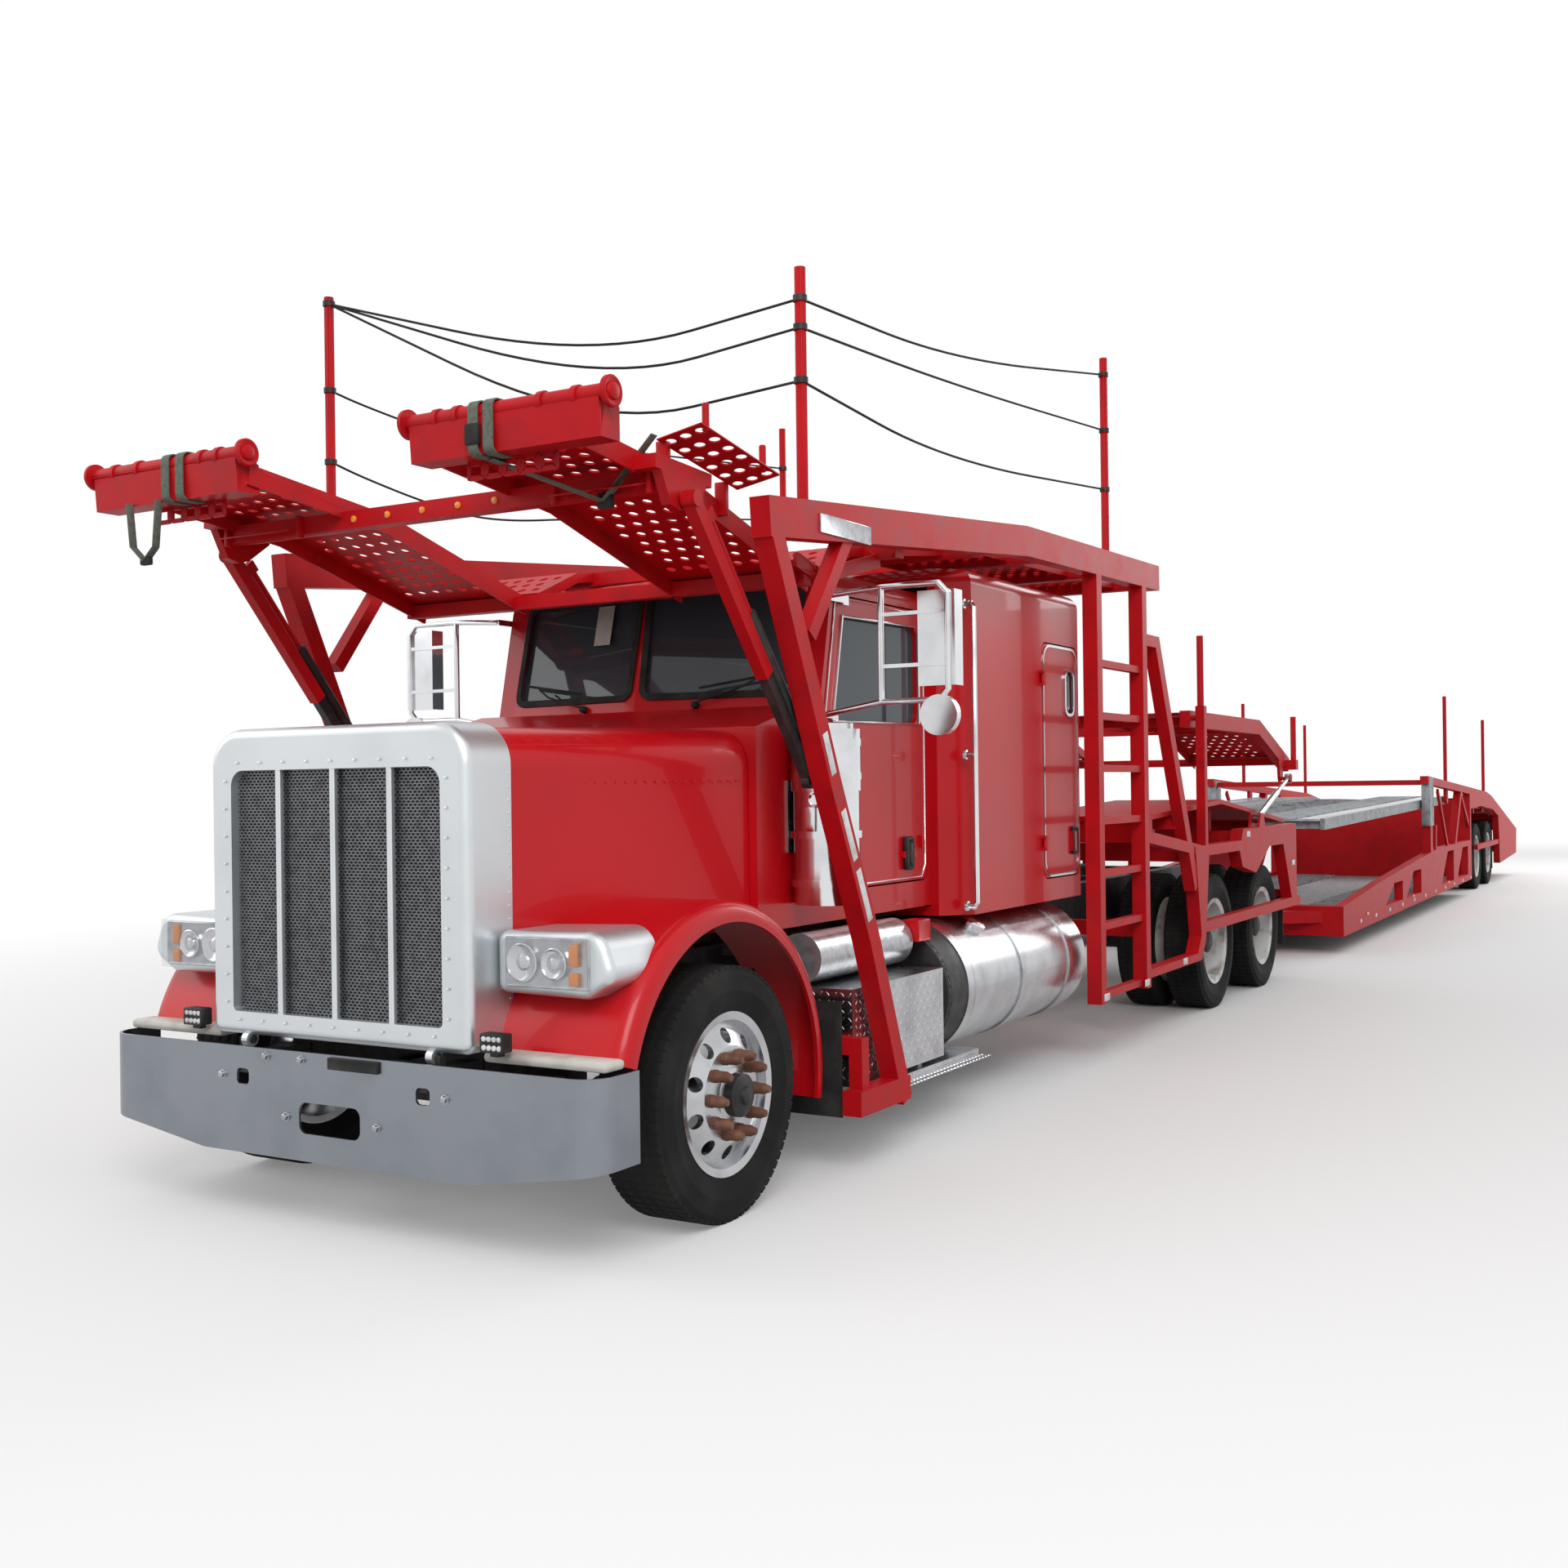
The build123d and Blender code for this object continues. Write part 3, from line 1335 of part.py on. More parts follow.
# hump deck behind the sleeper: side rails, runways, cross tubes and rear poles
hump_line = [(6540, 1995), (8390, 1985), (9330, 1700)]
lift_x = pole_x - 20.5
with BuildPart() as hump_deck:
    extrude(side_face(band(hump_line, 110), 1130), amount=70)
    hump_top = [(s, h + 40) for s, h in hump_line]
    extrude(side_face(band(hump_top, runway_plate), runway_inner), amount=1130 - runway_inner)
    skirt = [(s, h + 10) for s, h in hump_line]
    extrude(side_face(band(skirt, 60), runway_inner), amount=10)
    for station in (6750, 7600, 8350, 9200):
        height = line_height(hump_line, station)
        add(block((0, 1130), (station - 30, station + 30), (height - 40, height + 20)))
    lug = [(8990, 1790), (9020, 1590), (9040, 1565), (9080, 1565), (9110, 1590), (9150, 1740)]
    extrude(side_face(lug, 1180), amount=20)
    keeper_x = lift_x + 40 + keeper_gap
    add(side_disc(1180, *lift_eye, foot_pin_radius, keeper_x - 1180))
    add(side_disc(keeper_x, *lift_eye, keeper_radius + 6, keeper_thickness))
    add(block((1190, pole_x + 28), (9220, 9300), (1660, 1740)))
    with BuildSketch(Plane.XY.offset(1700)):
        with Locations((pole_x, at(9260))):
            Circle(pole_radius)
    extrude(amount=390)
    deck_bore = side_disc(1120, deck_pivot_station, deck_pivot_height, deck_pin_radius + pin_clearance, 90)
    add(deck_bore, mode=Mode.SUBTRACT)
    mirror(about=Plane.YZ)
write("hump_deck", hump_deck.part)

# cylinders that hold the hump deck
deck_rod_radius = 16
with BuildPart() as deck_lift_lower:
    add(side_rod(lift_x + 20, along(lift_foot, lift_eye, 0.03), along(lift_foot, lift_eye, 0.62), 25))
    add(side_disc(lift_x, *lift_foot, 32, 40))
    bore = side_rod(lift_x + 20, along(lift_foot, lift_eye, 0.2), along(lift_foot, lift_eye, 0.66), deck_rod_radius + pin_clearance)
    add(bore, mode=Mode.SUBTRACT)
    add(side_disc(lift_x - 5, *lift_foot, foot_pin_radius + pin_clearance, 50), mode=Mode.SUBTRACT)
    mirror(about=Plane.YZ)
write("deck_lift_lower", deck_lift_lower.part)

with BuildPart() as deck_lift_upper:
    add(side_rod(lift_x + 20, along(lift_foot, lift_eye, 0.45), along(lift_foot, lift_eye, 0.98), deck_rod_radius))
    add(side_disc(lift_x, *lift_eye, 38, 40))
    add(side_disc(lift_x - 5, *lift_eye, foot_pin_radius + deck_eye_slack, 50), mode=Mode.SUBTRACT)
    mirror(about=Plane.YZ)
write("deck_lift_upper", deck_lift_upper.part)

# trailer sides: low beams with their openings, top chords, tail plates and poles
beam_inner = body_half_width - beam_thickness
lower_beam = [
    (10930, 160),
    (10930, 430),
    (12720, 550),
    (15240, 680),
    (16570, 740),
    (19300, 740),
    (19300, 210),
    (11000, 160),
]
tail_plate = [
    (19230, 740),
    (19230, 1420),
    (20970, 1375),
    (21550, 1310),
    (24700, 740),
    (24620, 350),
    (22450, 280),
    (22420, 600),
    (22330, 1000),
    (21680, 1110),
    (20390, 1180),
    (19330, 1160),
    (19350, 210),
    (19230, 210),
]
cutouts = [
    # front station, rear station of the triangular openings in the side beam
    (13000, 14000),
    (14200, 15200),
    (16700, 17700),
    (18000, 19000),
]
top_chord = [(15770, 1560), (20970, 1330)]
rear_runway = [(19310, 1300), (21550, 1260), (23310, 964)]
tail_pin_station = 23360
tail_pin_height = 930
tail_pin_radius = 16
mid_pin_radius = 20
trailer_poles = [
    # station, height of the top
    (17400, 2600),
    (21000, 2410),
]
with BuildPart() as trailer_sides:
    extrude(side_face(lower_beam, beam_inner), amount=beam_thickness)
    for front, rear in cutouts:
        top = min(line_height(lower_beam[1:6], front), line_height(lower_beam[1:6], rear)) - 70
        opening = [(front, 290), (rear, 290), (rear, top), ((front + rear) / 2, top)]
        extrude(side_face(opening, beam_inner - 5), amount=beam_thickness + 10, mode=Mode.SUBTRACT)
    extrude(side_face(tail_plate, beam_inner), amount=beam_thickness)
    extrude(side_face(band(top_chord, 90), beam_inner), amount=beam_thickness)
    extrude(side_face(band([(15980, 600), (15980, 1540)], 150), beam_inner), amount=beam_thickness)
    extrude(side_face(band([(18480, 1430), (17820, 650)], 90), beam_inner), amount=beam_thickness)
    hanger = [(17540, 1460), (17540, 1280), (17580, 1255), (17620, 1255), (17660, 1280), (17660, 1460)]
    extrude(side_face(hanger, beam_inner), amount=40)
    add(side_disc(1140, mid_deck_pivot_station, mid_deck_height, mid_pin_radius, beam_inner - 1140))
    extrude(side_face(band([(20060, 610), (23580, 610)], 70), beam_inner + 25), amount=beam_thickness - 35)
    add(side_disc(1150, tail_pin_station, tail_pin_height, tail_pin_radius, beam_inner - 1150))
    for station, top in trailer_poles:
        foot = line_height(top_chord, min(station, 20900))
        with BuildSketch(Plane.XY.offset(foot)):
            with Locations((pole_x - 2.5, at(station))):
                Circle(pole_radius)
        extrude(amount=top - foot)
    mirror(about=Plane.YZ)
write("trailer_sides", trailer_sides.part)

# beams across the trailer, its neck and the rear runways
with BuildPart() as trailer_frame:
    add(block((0, beam_inner), (10930, 11100), (160, 430)))
    add(block((0, beam_inner), (19230, 19310), (210, 1280)))
    add(block((0, beam_inner), (15950, 16010), (1500, 1560)))
    for station, low in ((20300, 1080), (21250, 1080), (22450, 950), (23180, 850)):
        add(block((0, beam_inner), (station - 40, station + 40), (low, low + 80)))
    add(block((0, beam_inner), (24540, 24620), (360, 480)))
    add(block((430, 520), (19310, 22500), (1000, 1090)))
    extrude(side_face(band(rear_runway, runway_plate), 400), amount=780)
    for x in (400, 1170):
        skirt = [(s, h - 70) for s, h in rear_runway]
        extrude(side_face(band(skirt, 136), x), amount=10)
    # neck and its two diagonals out to the front beam
    coupler_low = hitch_height - 35
    neck = [
        (hitch_station, coupler_low),
        (hitch_station, coupler_low + 80),
        (10300, coupler_low + 80),
        (10940, 430),
        (10940, 170),
        (10600, 280),
        (10200, coupler_low),
    ]
    extrude(side_face(neck, 0), amount=160)
    diagonal = [(120, 10350), (1000, 10960), (1150, 10960), (120, 10200)]
    extrude(plan_face(diagonal, 280), amount=110)
    with BuildSketch(Plane.XY.offset(coupler_low)):
        with Locations((0, at(hitch_station))):
            Circle(160)
    extrude(amount=80)
    with BuildSketch(Plane.XY.offset(coupler_low - 5)):
        with Locations((0, at(hitch_station))):
            Circle(hitch_pin_radius + pin_clearance)
    extrude(amount=90, mode=Mode.SUBTRACT)
    mirror(about=Plane.YZ)
write("trailer_frame", trailer_frame.part)

# low floor of the trailer, with raised ribs
rib_pitch = 200
with BuildPart() as trailer_floor:
    add(block((-beam_inner, beam_inner), (11100, 19230), (200, 230)))
    rib_count = int((19230 - 11100) / rib_pitch)
    for rib in range(rib_count):
        station = 11100 + rib_pitch * (rib + 0.5)
        for side in (-1, 1):
            x = sorted((side * runway_inner, side * (beam_inner - 60)))
            add(block(x, (station - 35, station + 35), (230, 254)))
write("trailer_floor", trailer_floor.part)

# trailer axles on their hangers
with BuildPart() as trailer_axles:
    for station in (trailer_axle_station, trailer_axle_station + trailer_axle_spacing):
        reach = dual_centre - drum_depth - 6
        add(side_disc(-reach, station, wheel_radius, 65, 2 * reach))
        tip = dual_centre + 165
        add(side_disc(-tip, station, wheel_radius, spindle_radius, 2 * tip))
        for side in (-1, 1):
            add(block(sorted((side * 430, side * 520)), (station - 60, station + 60), (wheel_radius, 1000)))
write("trailer_axles", trailer_axles.part)

# tilting middle deck of the trailer
mid_line = [(10700, 1180), (mid_deck_pivot_station, mid_deck_height), (17900, 1300)]
with BuildPart() as trailer_mid_deck:
    extrude(side_face(band(mid_line, 100), 1150), amount=40)
    mid_top = [(s, h + 30) for s, h in mid_line]
    extrude(side_face(band(mid_top, runway_plate), 380), amount=770)
    extrude(side_face(band(mid_line, 60), 380), amount=10)
    for step in range(9):
        station = 10800 + 850 * step
        height = line_height(mid_line, station)
        add(block((0, 1150), (station - 30, station + 30), (height - 45, height + 15)))
    mid_bore = side_disc(1130, mid_deck_pivot_station, mid_deck_height, mid_pin_radius + pin_clearance, 70)
    add(mid_bore, mode=Mode.SUBTRACT)
    mirror(about=Plane.YZ)
write("trailer_mid_deck", trailer_mid_deck.part)

# tail ramps on one torsion tube
tail_line = [(tail_pin_station, tail_pin_height + 10), (24640, 725)]
with BuildPart() as tail_ramps:
    tail_top = [(s, h + 16) for s, h in tail_line]
    extrude(side_face(band(tail_top, runway_plate), 400), amount=780)
    for x in (400, 1160):
        extrude(side_face(band(tail_line, 50), x), amount=20)
        add(side_disc(x, tail_pin_station, tail_pin_height, 36, 20))
    add(side_disc(0, tail_pin_station, tail_pin_height, 24, 1140))
    for station in (23900, 24500):
        height = line_height(tail_line, station)
        add(block((0, 1160), (station - 25, station + 25), (height - 30, height + 10)))
    tail_bore = side_disc(1145, tail_pin_station, tail_pin_height, tail_pin_radius + pin_clearance, 50)
    add(tail_bore, mode=Mode.SUBTRACT)
    mirror(about=Plane.YZ)
write("tail_ramps", tail_ramps.part)
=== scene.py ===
import bpy
import json
import math
from mathutils import Matrix, Vector


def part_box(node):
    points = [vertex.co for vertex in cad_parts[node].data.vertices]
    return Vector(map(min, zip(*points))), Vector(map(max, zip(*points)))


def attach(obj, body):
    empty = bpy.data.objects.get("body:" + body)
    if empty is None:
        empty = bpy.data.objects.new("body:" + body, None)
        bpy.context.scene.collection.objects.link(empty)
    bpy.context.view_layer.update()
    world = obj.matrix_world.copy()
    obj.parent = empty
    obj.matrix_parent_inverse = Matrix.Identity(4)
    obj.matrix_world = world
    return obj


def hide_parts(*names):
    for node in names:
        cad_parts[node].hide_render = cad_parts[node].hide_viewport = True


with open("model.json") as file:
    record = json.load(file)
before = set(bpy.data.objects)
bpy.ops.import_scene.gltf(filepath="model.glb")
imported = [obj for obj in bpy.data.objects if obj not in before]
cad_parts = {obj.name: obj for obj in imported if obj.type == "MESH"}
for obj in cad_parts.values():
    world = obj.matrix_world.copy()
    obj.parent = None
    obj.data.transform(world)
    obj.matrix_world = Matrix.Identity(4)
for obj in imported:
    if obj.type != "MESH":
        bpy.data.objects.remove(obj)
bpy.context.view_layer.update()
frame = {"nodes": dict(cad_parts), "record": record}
nodes = frame["nodes"]
halfLength = 12.35


def at(station):
    # stations run back from the bumper's face
    return station - halfLength


print("frame loaded")

# finishes: what holds unless the table says otherwise, then the table

usual = {"metal": 0, "coat": 0, "shine": 0.35, "scale": 6, "bump": 0}
paintValues = {
    # colour, colour where it is worn, roughness, and what isn't as usual
    "redPaint": (
        (0.55, 0.003, 0.008), (0.5, 0.003, 0.008), 0.3, {"coat": 0.2, "scale": 2, "shine": 0.25}
    ),
    "rackRed": (
        (0.5, 0.004, 0.008), (0.4, 0.005, 0.01), 0.45, {"scale": 7, "bump": 0.04, "shine": 0.2}
    ),
    "blackSteel": (
        (0.014, 0.014, 0.016), (0.04, 0.037, 0.034), 0.5, {"scale": 12, "bump": 0.1}
    ),
    "castGrey": ((0.16, 0.16, 0.16), (0.08, 0.07, 0.06), 0.7, {"metal": 0.4, "bump": 0.4}),
    "satinSilver": ((0.66, 0.69, 0.71), (0.62, 0.65, 0.67), 0.36, {"metal": 0.85, "scale": 3}),
    "bumperMetal": ((0.27, 0.29, 0.32), (0.23, 0.25, 0.28), 0.3, {"metal": 1.0, "scale": 3}),
    "polishedAluminium": ((0.55, 0.56, 0.58), (0.42, 0.43, 0.45), 0.26, {"metal": 1.0}),
    "chromeTrim": ((0.72, 0.73, 0.75), (0.62, 0.63, 0.65), 0.14, {"metal": 1.0}),
    "greyTrim": ((0.2, 0.195, 0.19), (0.15, 0.145, 0.14), 0.75, {"scale": 40, "bump": 0.3}),
    "blackRubber": (
        (0.016, 0.016, 0.016), (0.035, 0.034, 0.032), 0.8, {"scale": 8, "bump": 0.3}
    ),
    "tyreBlack": (
        (0.011, 0.011, 0.012), (0.02, 0.019, 0.018), 0.85, {"scale": 5, "bump": 0.35, "shine": 0.2}
    ),
    "darkMesh": ((0.012, 0.012, 0.013), (0.02, 0.02, 0.02), 0.6, {"bump": 0.1}),
    "wireSilver": ((0.3, 0.31, 0.33), (0.2, 0.2, 0.21), 0.35, {"metal": 0.8, "scale": 30}),
    "brightSteel": ((0.45, 0.45, 0.47), (0.3, 0.3, 0.31), 0.25, {"metal": 1.0}),
    "galvanised": (
        (0.33, 0.35, 0.37), (0.2, 0.2, 0.2), 0.55, {"metal": 0.6, "scale": 14, "bump": 0.15}
    ),
    "paleTrim": ((0.62, 0.6, 0.55), (0.45, 0.42, 0.38), 0.5, {"scale": 10}),
    "whiteTape": ((0.75, 0.76, 0.78), (0.5, 0.5, 0.5), 0.3, {"scale": 20}),
    "amberLens": ((0.85, 0.28, 0.02), (0.7, 0.2, 0.02), 0.15, {"coat": 0.5}),
    "redLens": ((0.5, 0.01, 0.01), (0.35, 0.01, 0.01), 0.12, {"coat": 0.5}),
    "brownCap": ((0.13, 0.05, 0.03), (0.2, 0.09, 0.05), 0.55, {"scale": 20}),
    "greyWebbing": ((0.14, 0.16, 0.13), (0.09, 0.1, 0.08), 0.9, {"scale": 60, "bump": 0.6}),
    "paleSheet": ((0.6, 0.72, 0.64), (0.52, 0.64, 0.56), 0.6, {"scale": 12}),
    "lampGrey": ((0.5, 0.51, 0.53), (0.35, 0.36, 0.38), 0.2, {"metal": 0.7, "scale": 30}),
}


def addNode(tree, kind, values=None, operation=None):
    # shader node, with the values of its inputs
    node = tree.nodes.new("ShaderNode" + kind)
    if operation:
        node.operation = operation
    for name, value in (values or {}).items():
        node.inputs[name].default_value = value
    return node


def addRamp(tree, noise, *ends):
    # colour that follows a noise: place and colour of both ends
    ramp = addNode(tree, "ValToRGB")
    for element, (place, color) in zip(ramp.color_ramp.elements, ends):
        element.position = place
        element.color = (*color, 1)
    tree.links.new(noise.outputs["Fac"], ramp.inputs["Fac"])
    return ramp.outputs["Color"]


def finishMaterial(name, row):
    # surface with uneven colour and gloss, and a fine grain as bump
    color, worn, rough, unusual = row
    values = {**usual, **unusual}
    material = bpy.data.materials.new(name)
    material.use_nodes = True
    tree = material.node_tree
    link = tree.links.new
    shader = tree.nodes["Principled BSDF"]
    shader.inputs["Metallic"].default_value = values["metal"]
    shader.inputs["Coat Weight"].default_value = values["coat"]
    shader.inputs["Specular IOR Level"].default_value = values["shine"]
    place = addNode(tree, "TexCoord").outputs["Object"]
    noise = addNode(tree, "TexNoise", {"Scale": values["scale"], "Detail": 6})
    gloss = addNode(tree, "MapRange", {"To Min": rough * 0.8, "To Max": min(1, rough * 1.25)})
    link(place, noise.inputs["Vector"])
    link(noise.outputs["Fac"], gloss.inputs["Value"])
    link(gloss.outputs["Result"], shader.inputs["Roughness"])
    link(addRamp(tree, noise, (0.32, worn), (0.55, color)), shader.inputs["Base Color"])
    if values["bump"]:
        grain = addNode(tree, "TexNoise", {"Scale": 220})
        bump = addNode(tree, "Bump", {"Strength": values["bump"], "Distance": 0.002})
        link(place, grain.inputs["Vector"])
        link(grain.outputs["Fac"], bump.inputs["Height"])
        link(bump.outputs["Normal"], shader.inputs["Normal"])
    return material


finishes = {name: finishMaterial(name, values) for name, values in paintValues.items()}

glassValues = {
    # colour, roughness, opacity
    "darkGlass": ((0.06, 0.085, 0.1), 0.03, 0.82),
    "clearLens": ((0.4, 0.42, 0.44), 0.05, 0.12),
}
for name, (color, rough, alpha) in glassValues.items():
    glass = bpy.data.materials.new(name)
    glass.use_nodes = True
    glassShader = glass.node_tree.nodes["Principled BSDF"]
    glassShader.inputs["Base Color"].default_value = (*color, 1)
    glassShader.inputs["Roughness"].default_value = rough
    glassShader.inputs["Alpha"].default_value = alpha
    finishes[name] = glass

wheelValues = {
    "axleHeight": 0.463, "rimEdge": 0.297, "white": (0.68, 0.68, 0.67), "dirt": (0.3, 0.28, 0.25)
}
# sockets of a colour mix, which shares its names with the plain number mix
mixSockets = {"first": 6, "second": 7, "result": 2}


def twinWheelMaterial(name, station):
    # tyre outside the rim's edge, white painted disc inside it,
    # told apart by the distance from the axle
    material = finishMaterial(name, paintValues["tyreBlack"])
    tree = material.node_tree
    link = tree.links.new
    shader = tree.nodes["Principled BSDF"]
    rubber = shader.inputs["Base Color"].links[0].from_socket
    place = addNode(tree, "TexCoord").outputs["Object"]
    axle = (0, -at(station), -wheelValues["axleHeight"])
    mapping = addNode(tree, "Mapping", {"Location": axle})
    parts = addNode(tree, "SeparateXYZ")
    across = addNode(tree, "CombineXYZ")
    length = addNode(tree, "VectorMath", operation="LENGTH")
    inside = addNode(tree, "Math", {1: wheelValues["rimEdge"]}, "LESS_THAN")
    dirt = addNode(tree, "TexNoise", {"Scale": 9})
    mix = addNode(tree, "Mix")
    mix.data_type = "RGBA"
    disc = addRamp(tree, dirt, (0.3, wheelValues["dirt"]), (0.5, wheelValues["white"]))
    link(place, mapping.inputs["Vector"])
    link(mapping.outputs["Vector"], parts.inputs["Vector"])
    link(parts.outputs["Y"], across.inputs["Y"])
    link(parts.outputs["Z"], across.inputs["Z"])
    link(across.outputs["Vector"], length.inputs[0])
    link(length.outputs["Value"], inside.inputs[0])
    link(place, dirt.inputs["Vector"])
    link(inside.outputs["Value"], mix.inputs["Factor"])
    link(rubber, mix.inputs[mixSockets["first"]])
    link(disc, mix.inputs[mixSockets["second"]])
    link(mix.outputs[mixSockets["result"]], shader.inputs["Base Color"])
    return material


def slotFinish(slot):
    # a slot's finish has the same words in its name, but for the lamp bodies
    first, *others = slot.split("_")
    name = first + "".join(word.title() for word in others)
    return "satinSilver" if name == "lampBody" else name


nodeFinish = {
    # nodes whose finish differs from the rest of their slot
    "front_bumper": "bumperMetal", "grille_crown": "satinSilver", "tanks_and_exhaust": "lampGrey",
    "deck_lift_lower": "brightSteel",
}
for name in (
    "rack_posts", "overcab_deck", "rack_ladders", "body_sides", "rear_body", "head_ramp",
    "lift_upper", "hump_deck", "trailer_sides", "trailer_frame", "tail_ramps"
):
    nodeFinish[name] = "rackRed"
axleStations = {
    # station of each axle with twin wheels, and its wheels' node name
    "drive_wheel_front": 7.094,
    "drive_wheel_rear": 8.415,
    "trailer_wheel_front": 20.61,
    "trailer_wheel_rear": 21.855,
}
for part in frame["record"]["subparts"]:
    piece = nodes[part["node"]]
    piece.data.materials.clear()
    name = nodeFinish.get(part["node"], slotFinish(part["material_slot"]))
    piece.data.materials.append(finishes[name])
for wheel, station in axleStations.items():
    finish = twinWheelMaterial(wheel + "Finish", station)
    for side in ("left", "right"):
        nodes[wheel + "_" + side].data.materials[0] = finish
print("finishes assigned")

# modelling helpers


def clearAll():
    if bpy.context.object and bpy.context.object.mode != "OBJECT":
        bpy.ops.object.mode_set(mode="OBJECT")
    bpy.ops.object.select_all(action="DESELECT")


def pick(piece):
    clearAll()
    piece.select_set(True)
    bpy.context.view_layer.objects.active = piece


def applyPlace(piece):
    pick(piece)
    bpy.ops.object.transform_apply(location=True, rotation=True, scale=True)


def editAll():
    bpy.ops.object.mode_set(mode="EDIT")
    bpy.ops.mesh.select_all(action="SELECT")


def bar(low, high, edge=0.003):
    # block with rounded edges
    clearAll()
    middle = [(a + b) / 2 for a, b in zip(low, high)]
    spans = [b - a for a, b in zip(low, high)]
    bpy.ops.mesh.primitive_cube_add(size=1, location=middle, scale=spans)
    piece = bpy.context.object
    applyPlace(piece)
    editAll()
    bpy.ops.mesh.bevel(offset=min(edge, 0.45 * min(spans)), segments=2, affect="EDGES")
    bpy.ops.object.mode_set(mode="OBJECT")
    return piece


def dish(piece, facing, rim, depth):
    # sink the faces that look one way, leaving a rim
    pick(piece)
    for polygon in piece.data.polygons:
        polygon.select = polygon.normal.dot(Vector(facing)) > 0.99
    for edge in piece.data.edges:
        edge.select = False
    for vertex in piece.data.vertices:
        vertex.select = False
    bpy.ops.object.mode_set(mode="EDIT")
    bpy.ops.mesh.select_mode(type="FACE")
    bpy.ops.mesh.inset(thickness=rim, depth=-depth)
    bpy.ops.object.mode_set(mode="OBJECT")
    return piece


def turned(centre, facing, profile, sides=24):
    # round form drawn up from a disc: distance along the axis and radius of each ring
    clearAll()
    distance, radius = profile[0]
    bpy.ops.mesh.primitive_circle_add(
        vertices=sides, radius=radius, fill_type="NGON", location=(0, 0, 0)
    )
    piece = bpy.context.object
    piece.data.transform(Matrix.Translation((0, 0, distance)))
    editAll()
    for nextDistance, nextRadius in profile[1:]:
        step = {"value": (0, 0, nextDistance - distance)}
        bpy.ops.mesh.extrude_region_move(TRANSFORM_OT_translate=step)
        ratio = nextRadius / radius
        bpy.ops.transform.resize(value=(ratio, ratio, 1), center_override=(0, 0, nextDistance))
        distance, radius = nextDistance, nextRadius
    bpy.ops.mesh.select_all(action="SELECT")
    bpy.ops.mesh.normals_make_consistent(inside=False)
    bpy.ops.object.mode_set(mode="OBJECT")
    turn = Vector(facing).to_track_quat("Z", "Y").to_matrix().to_4x4()
    piece.data.transform(Matrix.Translation(centre) @ turn)
    return piece


def rod(start, finish, radius, sides=12):
    # bar of round section with eased ends
    run = Vector(finish) - Vector(start)
    ease = min(radius * 0.3, run.length * 0.2)
    profile = [
        (0, radius - ease), (ease, radius), (run.length - ease, radius), (run.length, radius - ease)
    ]
    return turned(start, run, profile, sides)


def hoop(width, height, corner, band, depth, place):
    # flat rounded frame, raised by its depth, laid at a place given by a matrix
    clearAll()
    bpy.ops.mesh.primitive_plane_add(size=1, location=(0, 0, 0))
    piece = bpy.context.object
    piece.data.transform(Matrix.Diagonal((width, height, 1, 1)))
    editAll()
    bpy.ops.mesh.bevel(offset=corner, segments=5, affect="VERTICES")
    bpy.ops.mesh.select_all(action="SELECT")
    bpy.ops.mesh.inset(thickness=band)
    bpy.ops.mesh.delete(type="FACE")
    bpy.ops.mesh.select_all(action="SELECT")
    bpy.ops.mesh.extrude_region_move(TRANSFORM_OT_translate={"value": (0, 0, depth)})
    bpy.ops.mesh.select_all(action="SELECT")
    bpy.ops.mesh.normals_make_consistent(inside=False)
    bpy.ops.object.mode_set(mode="OBJECT")
    piece.data.transform(place)
    return piece


def line(points, radius, closed=False, sides=2):
    # tube along a run of points
    clearAll()
    curve = bpy.data.curves.new("line", "CURVE")
    curve.dimensions = "3D"
    curve.bevel_depth = radius
    curve.bevel_resolution = sides
    curve.use_fill_caps = not closed
    spline = curve.splines.new("POLY")
    spline.points.add(len(points) - 1)
    for point, place in zip(spline.points, points):
        point.co = (*place, 1)
    spline.use_cyclic_u = closed
    piece = bpy.data.objects.new("line", curve)
    bpy.context.scene.collection.objects.link(piece)
    pick(piece)
    bpy.ops.object.convert(target="MESH")
    return bpy.context.object


def spread(piece, places):
    # copies of one piece, each with its own mesh, joined to a single piece
    copies = []
    for place in places:
        twin = piece.copy()
        twin.data = piece.data.copy()
        twin.data.transform(place)
        bpy.context.scene.collection.objects.link(twin)
        copies.append(twin)
    bpy.data.objects.remove(piece)
    return together(copies)


def moves(offsets):
    return [Matrix.Translation(offset) for offset in offsets]


def together(pieces):
    clearAll()
    for piece in pieces:
        piece.select_set(True)
    bpy.context.view_layer.objects.active = pieces[0]
    if len(pieces) > 1:
        bpy.ops.object.join()
    return bpy.context.view_layer.objects.active


def bothSides(piece):
    # add the mirror image across the vehicle's middle
    twin = piece.copy()
    twin.data = piece.data.copy()
    twin.data.transform(Matrix.Diagonal((-1, 1, 1, 1)))
    twin.data.flip_normals()
    bpy.context.scene.collection.objects.link(twin)
    return together([piece, twin])


def settle(piece, name, finish, body, smooth=35):
    # name, shading, finish and the body that it rides on
    pick(piece)
    piece.name = name
    piece.data.name = name
    bpy.ops.object.shade_smooth_by_angle(angle=math.radians(smooth))
    piece.data.materials.clear()
    piece.data.materials.append(finishes[finish])
    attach(piece, body)
    return piece


def ringOf(piece, centre, count, start=0):
    # copies round an axle's line
    places = []
    for step in range(count):
        turn = Matrix.Rotation(2 * math.pi * step / count + start, 4, "X")
        places.append(Matrix.Translation(centre) @ turn @ Matrix.Translation([-c for c in centre]))
    return spread(piece, places)


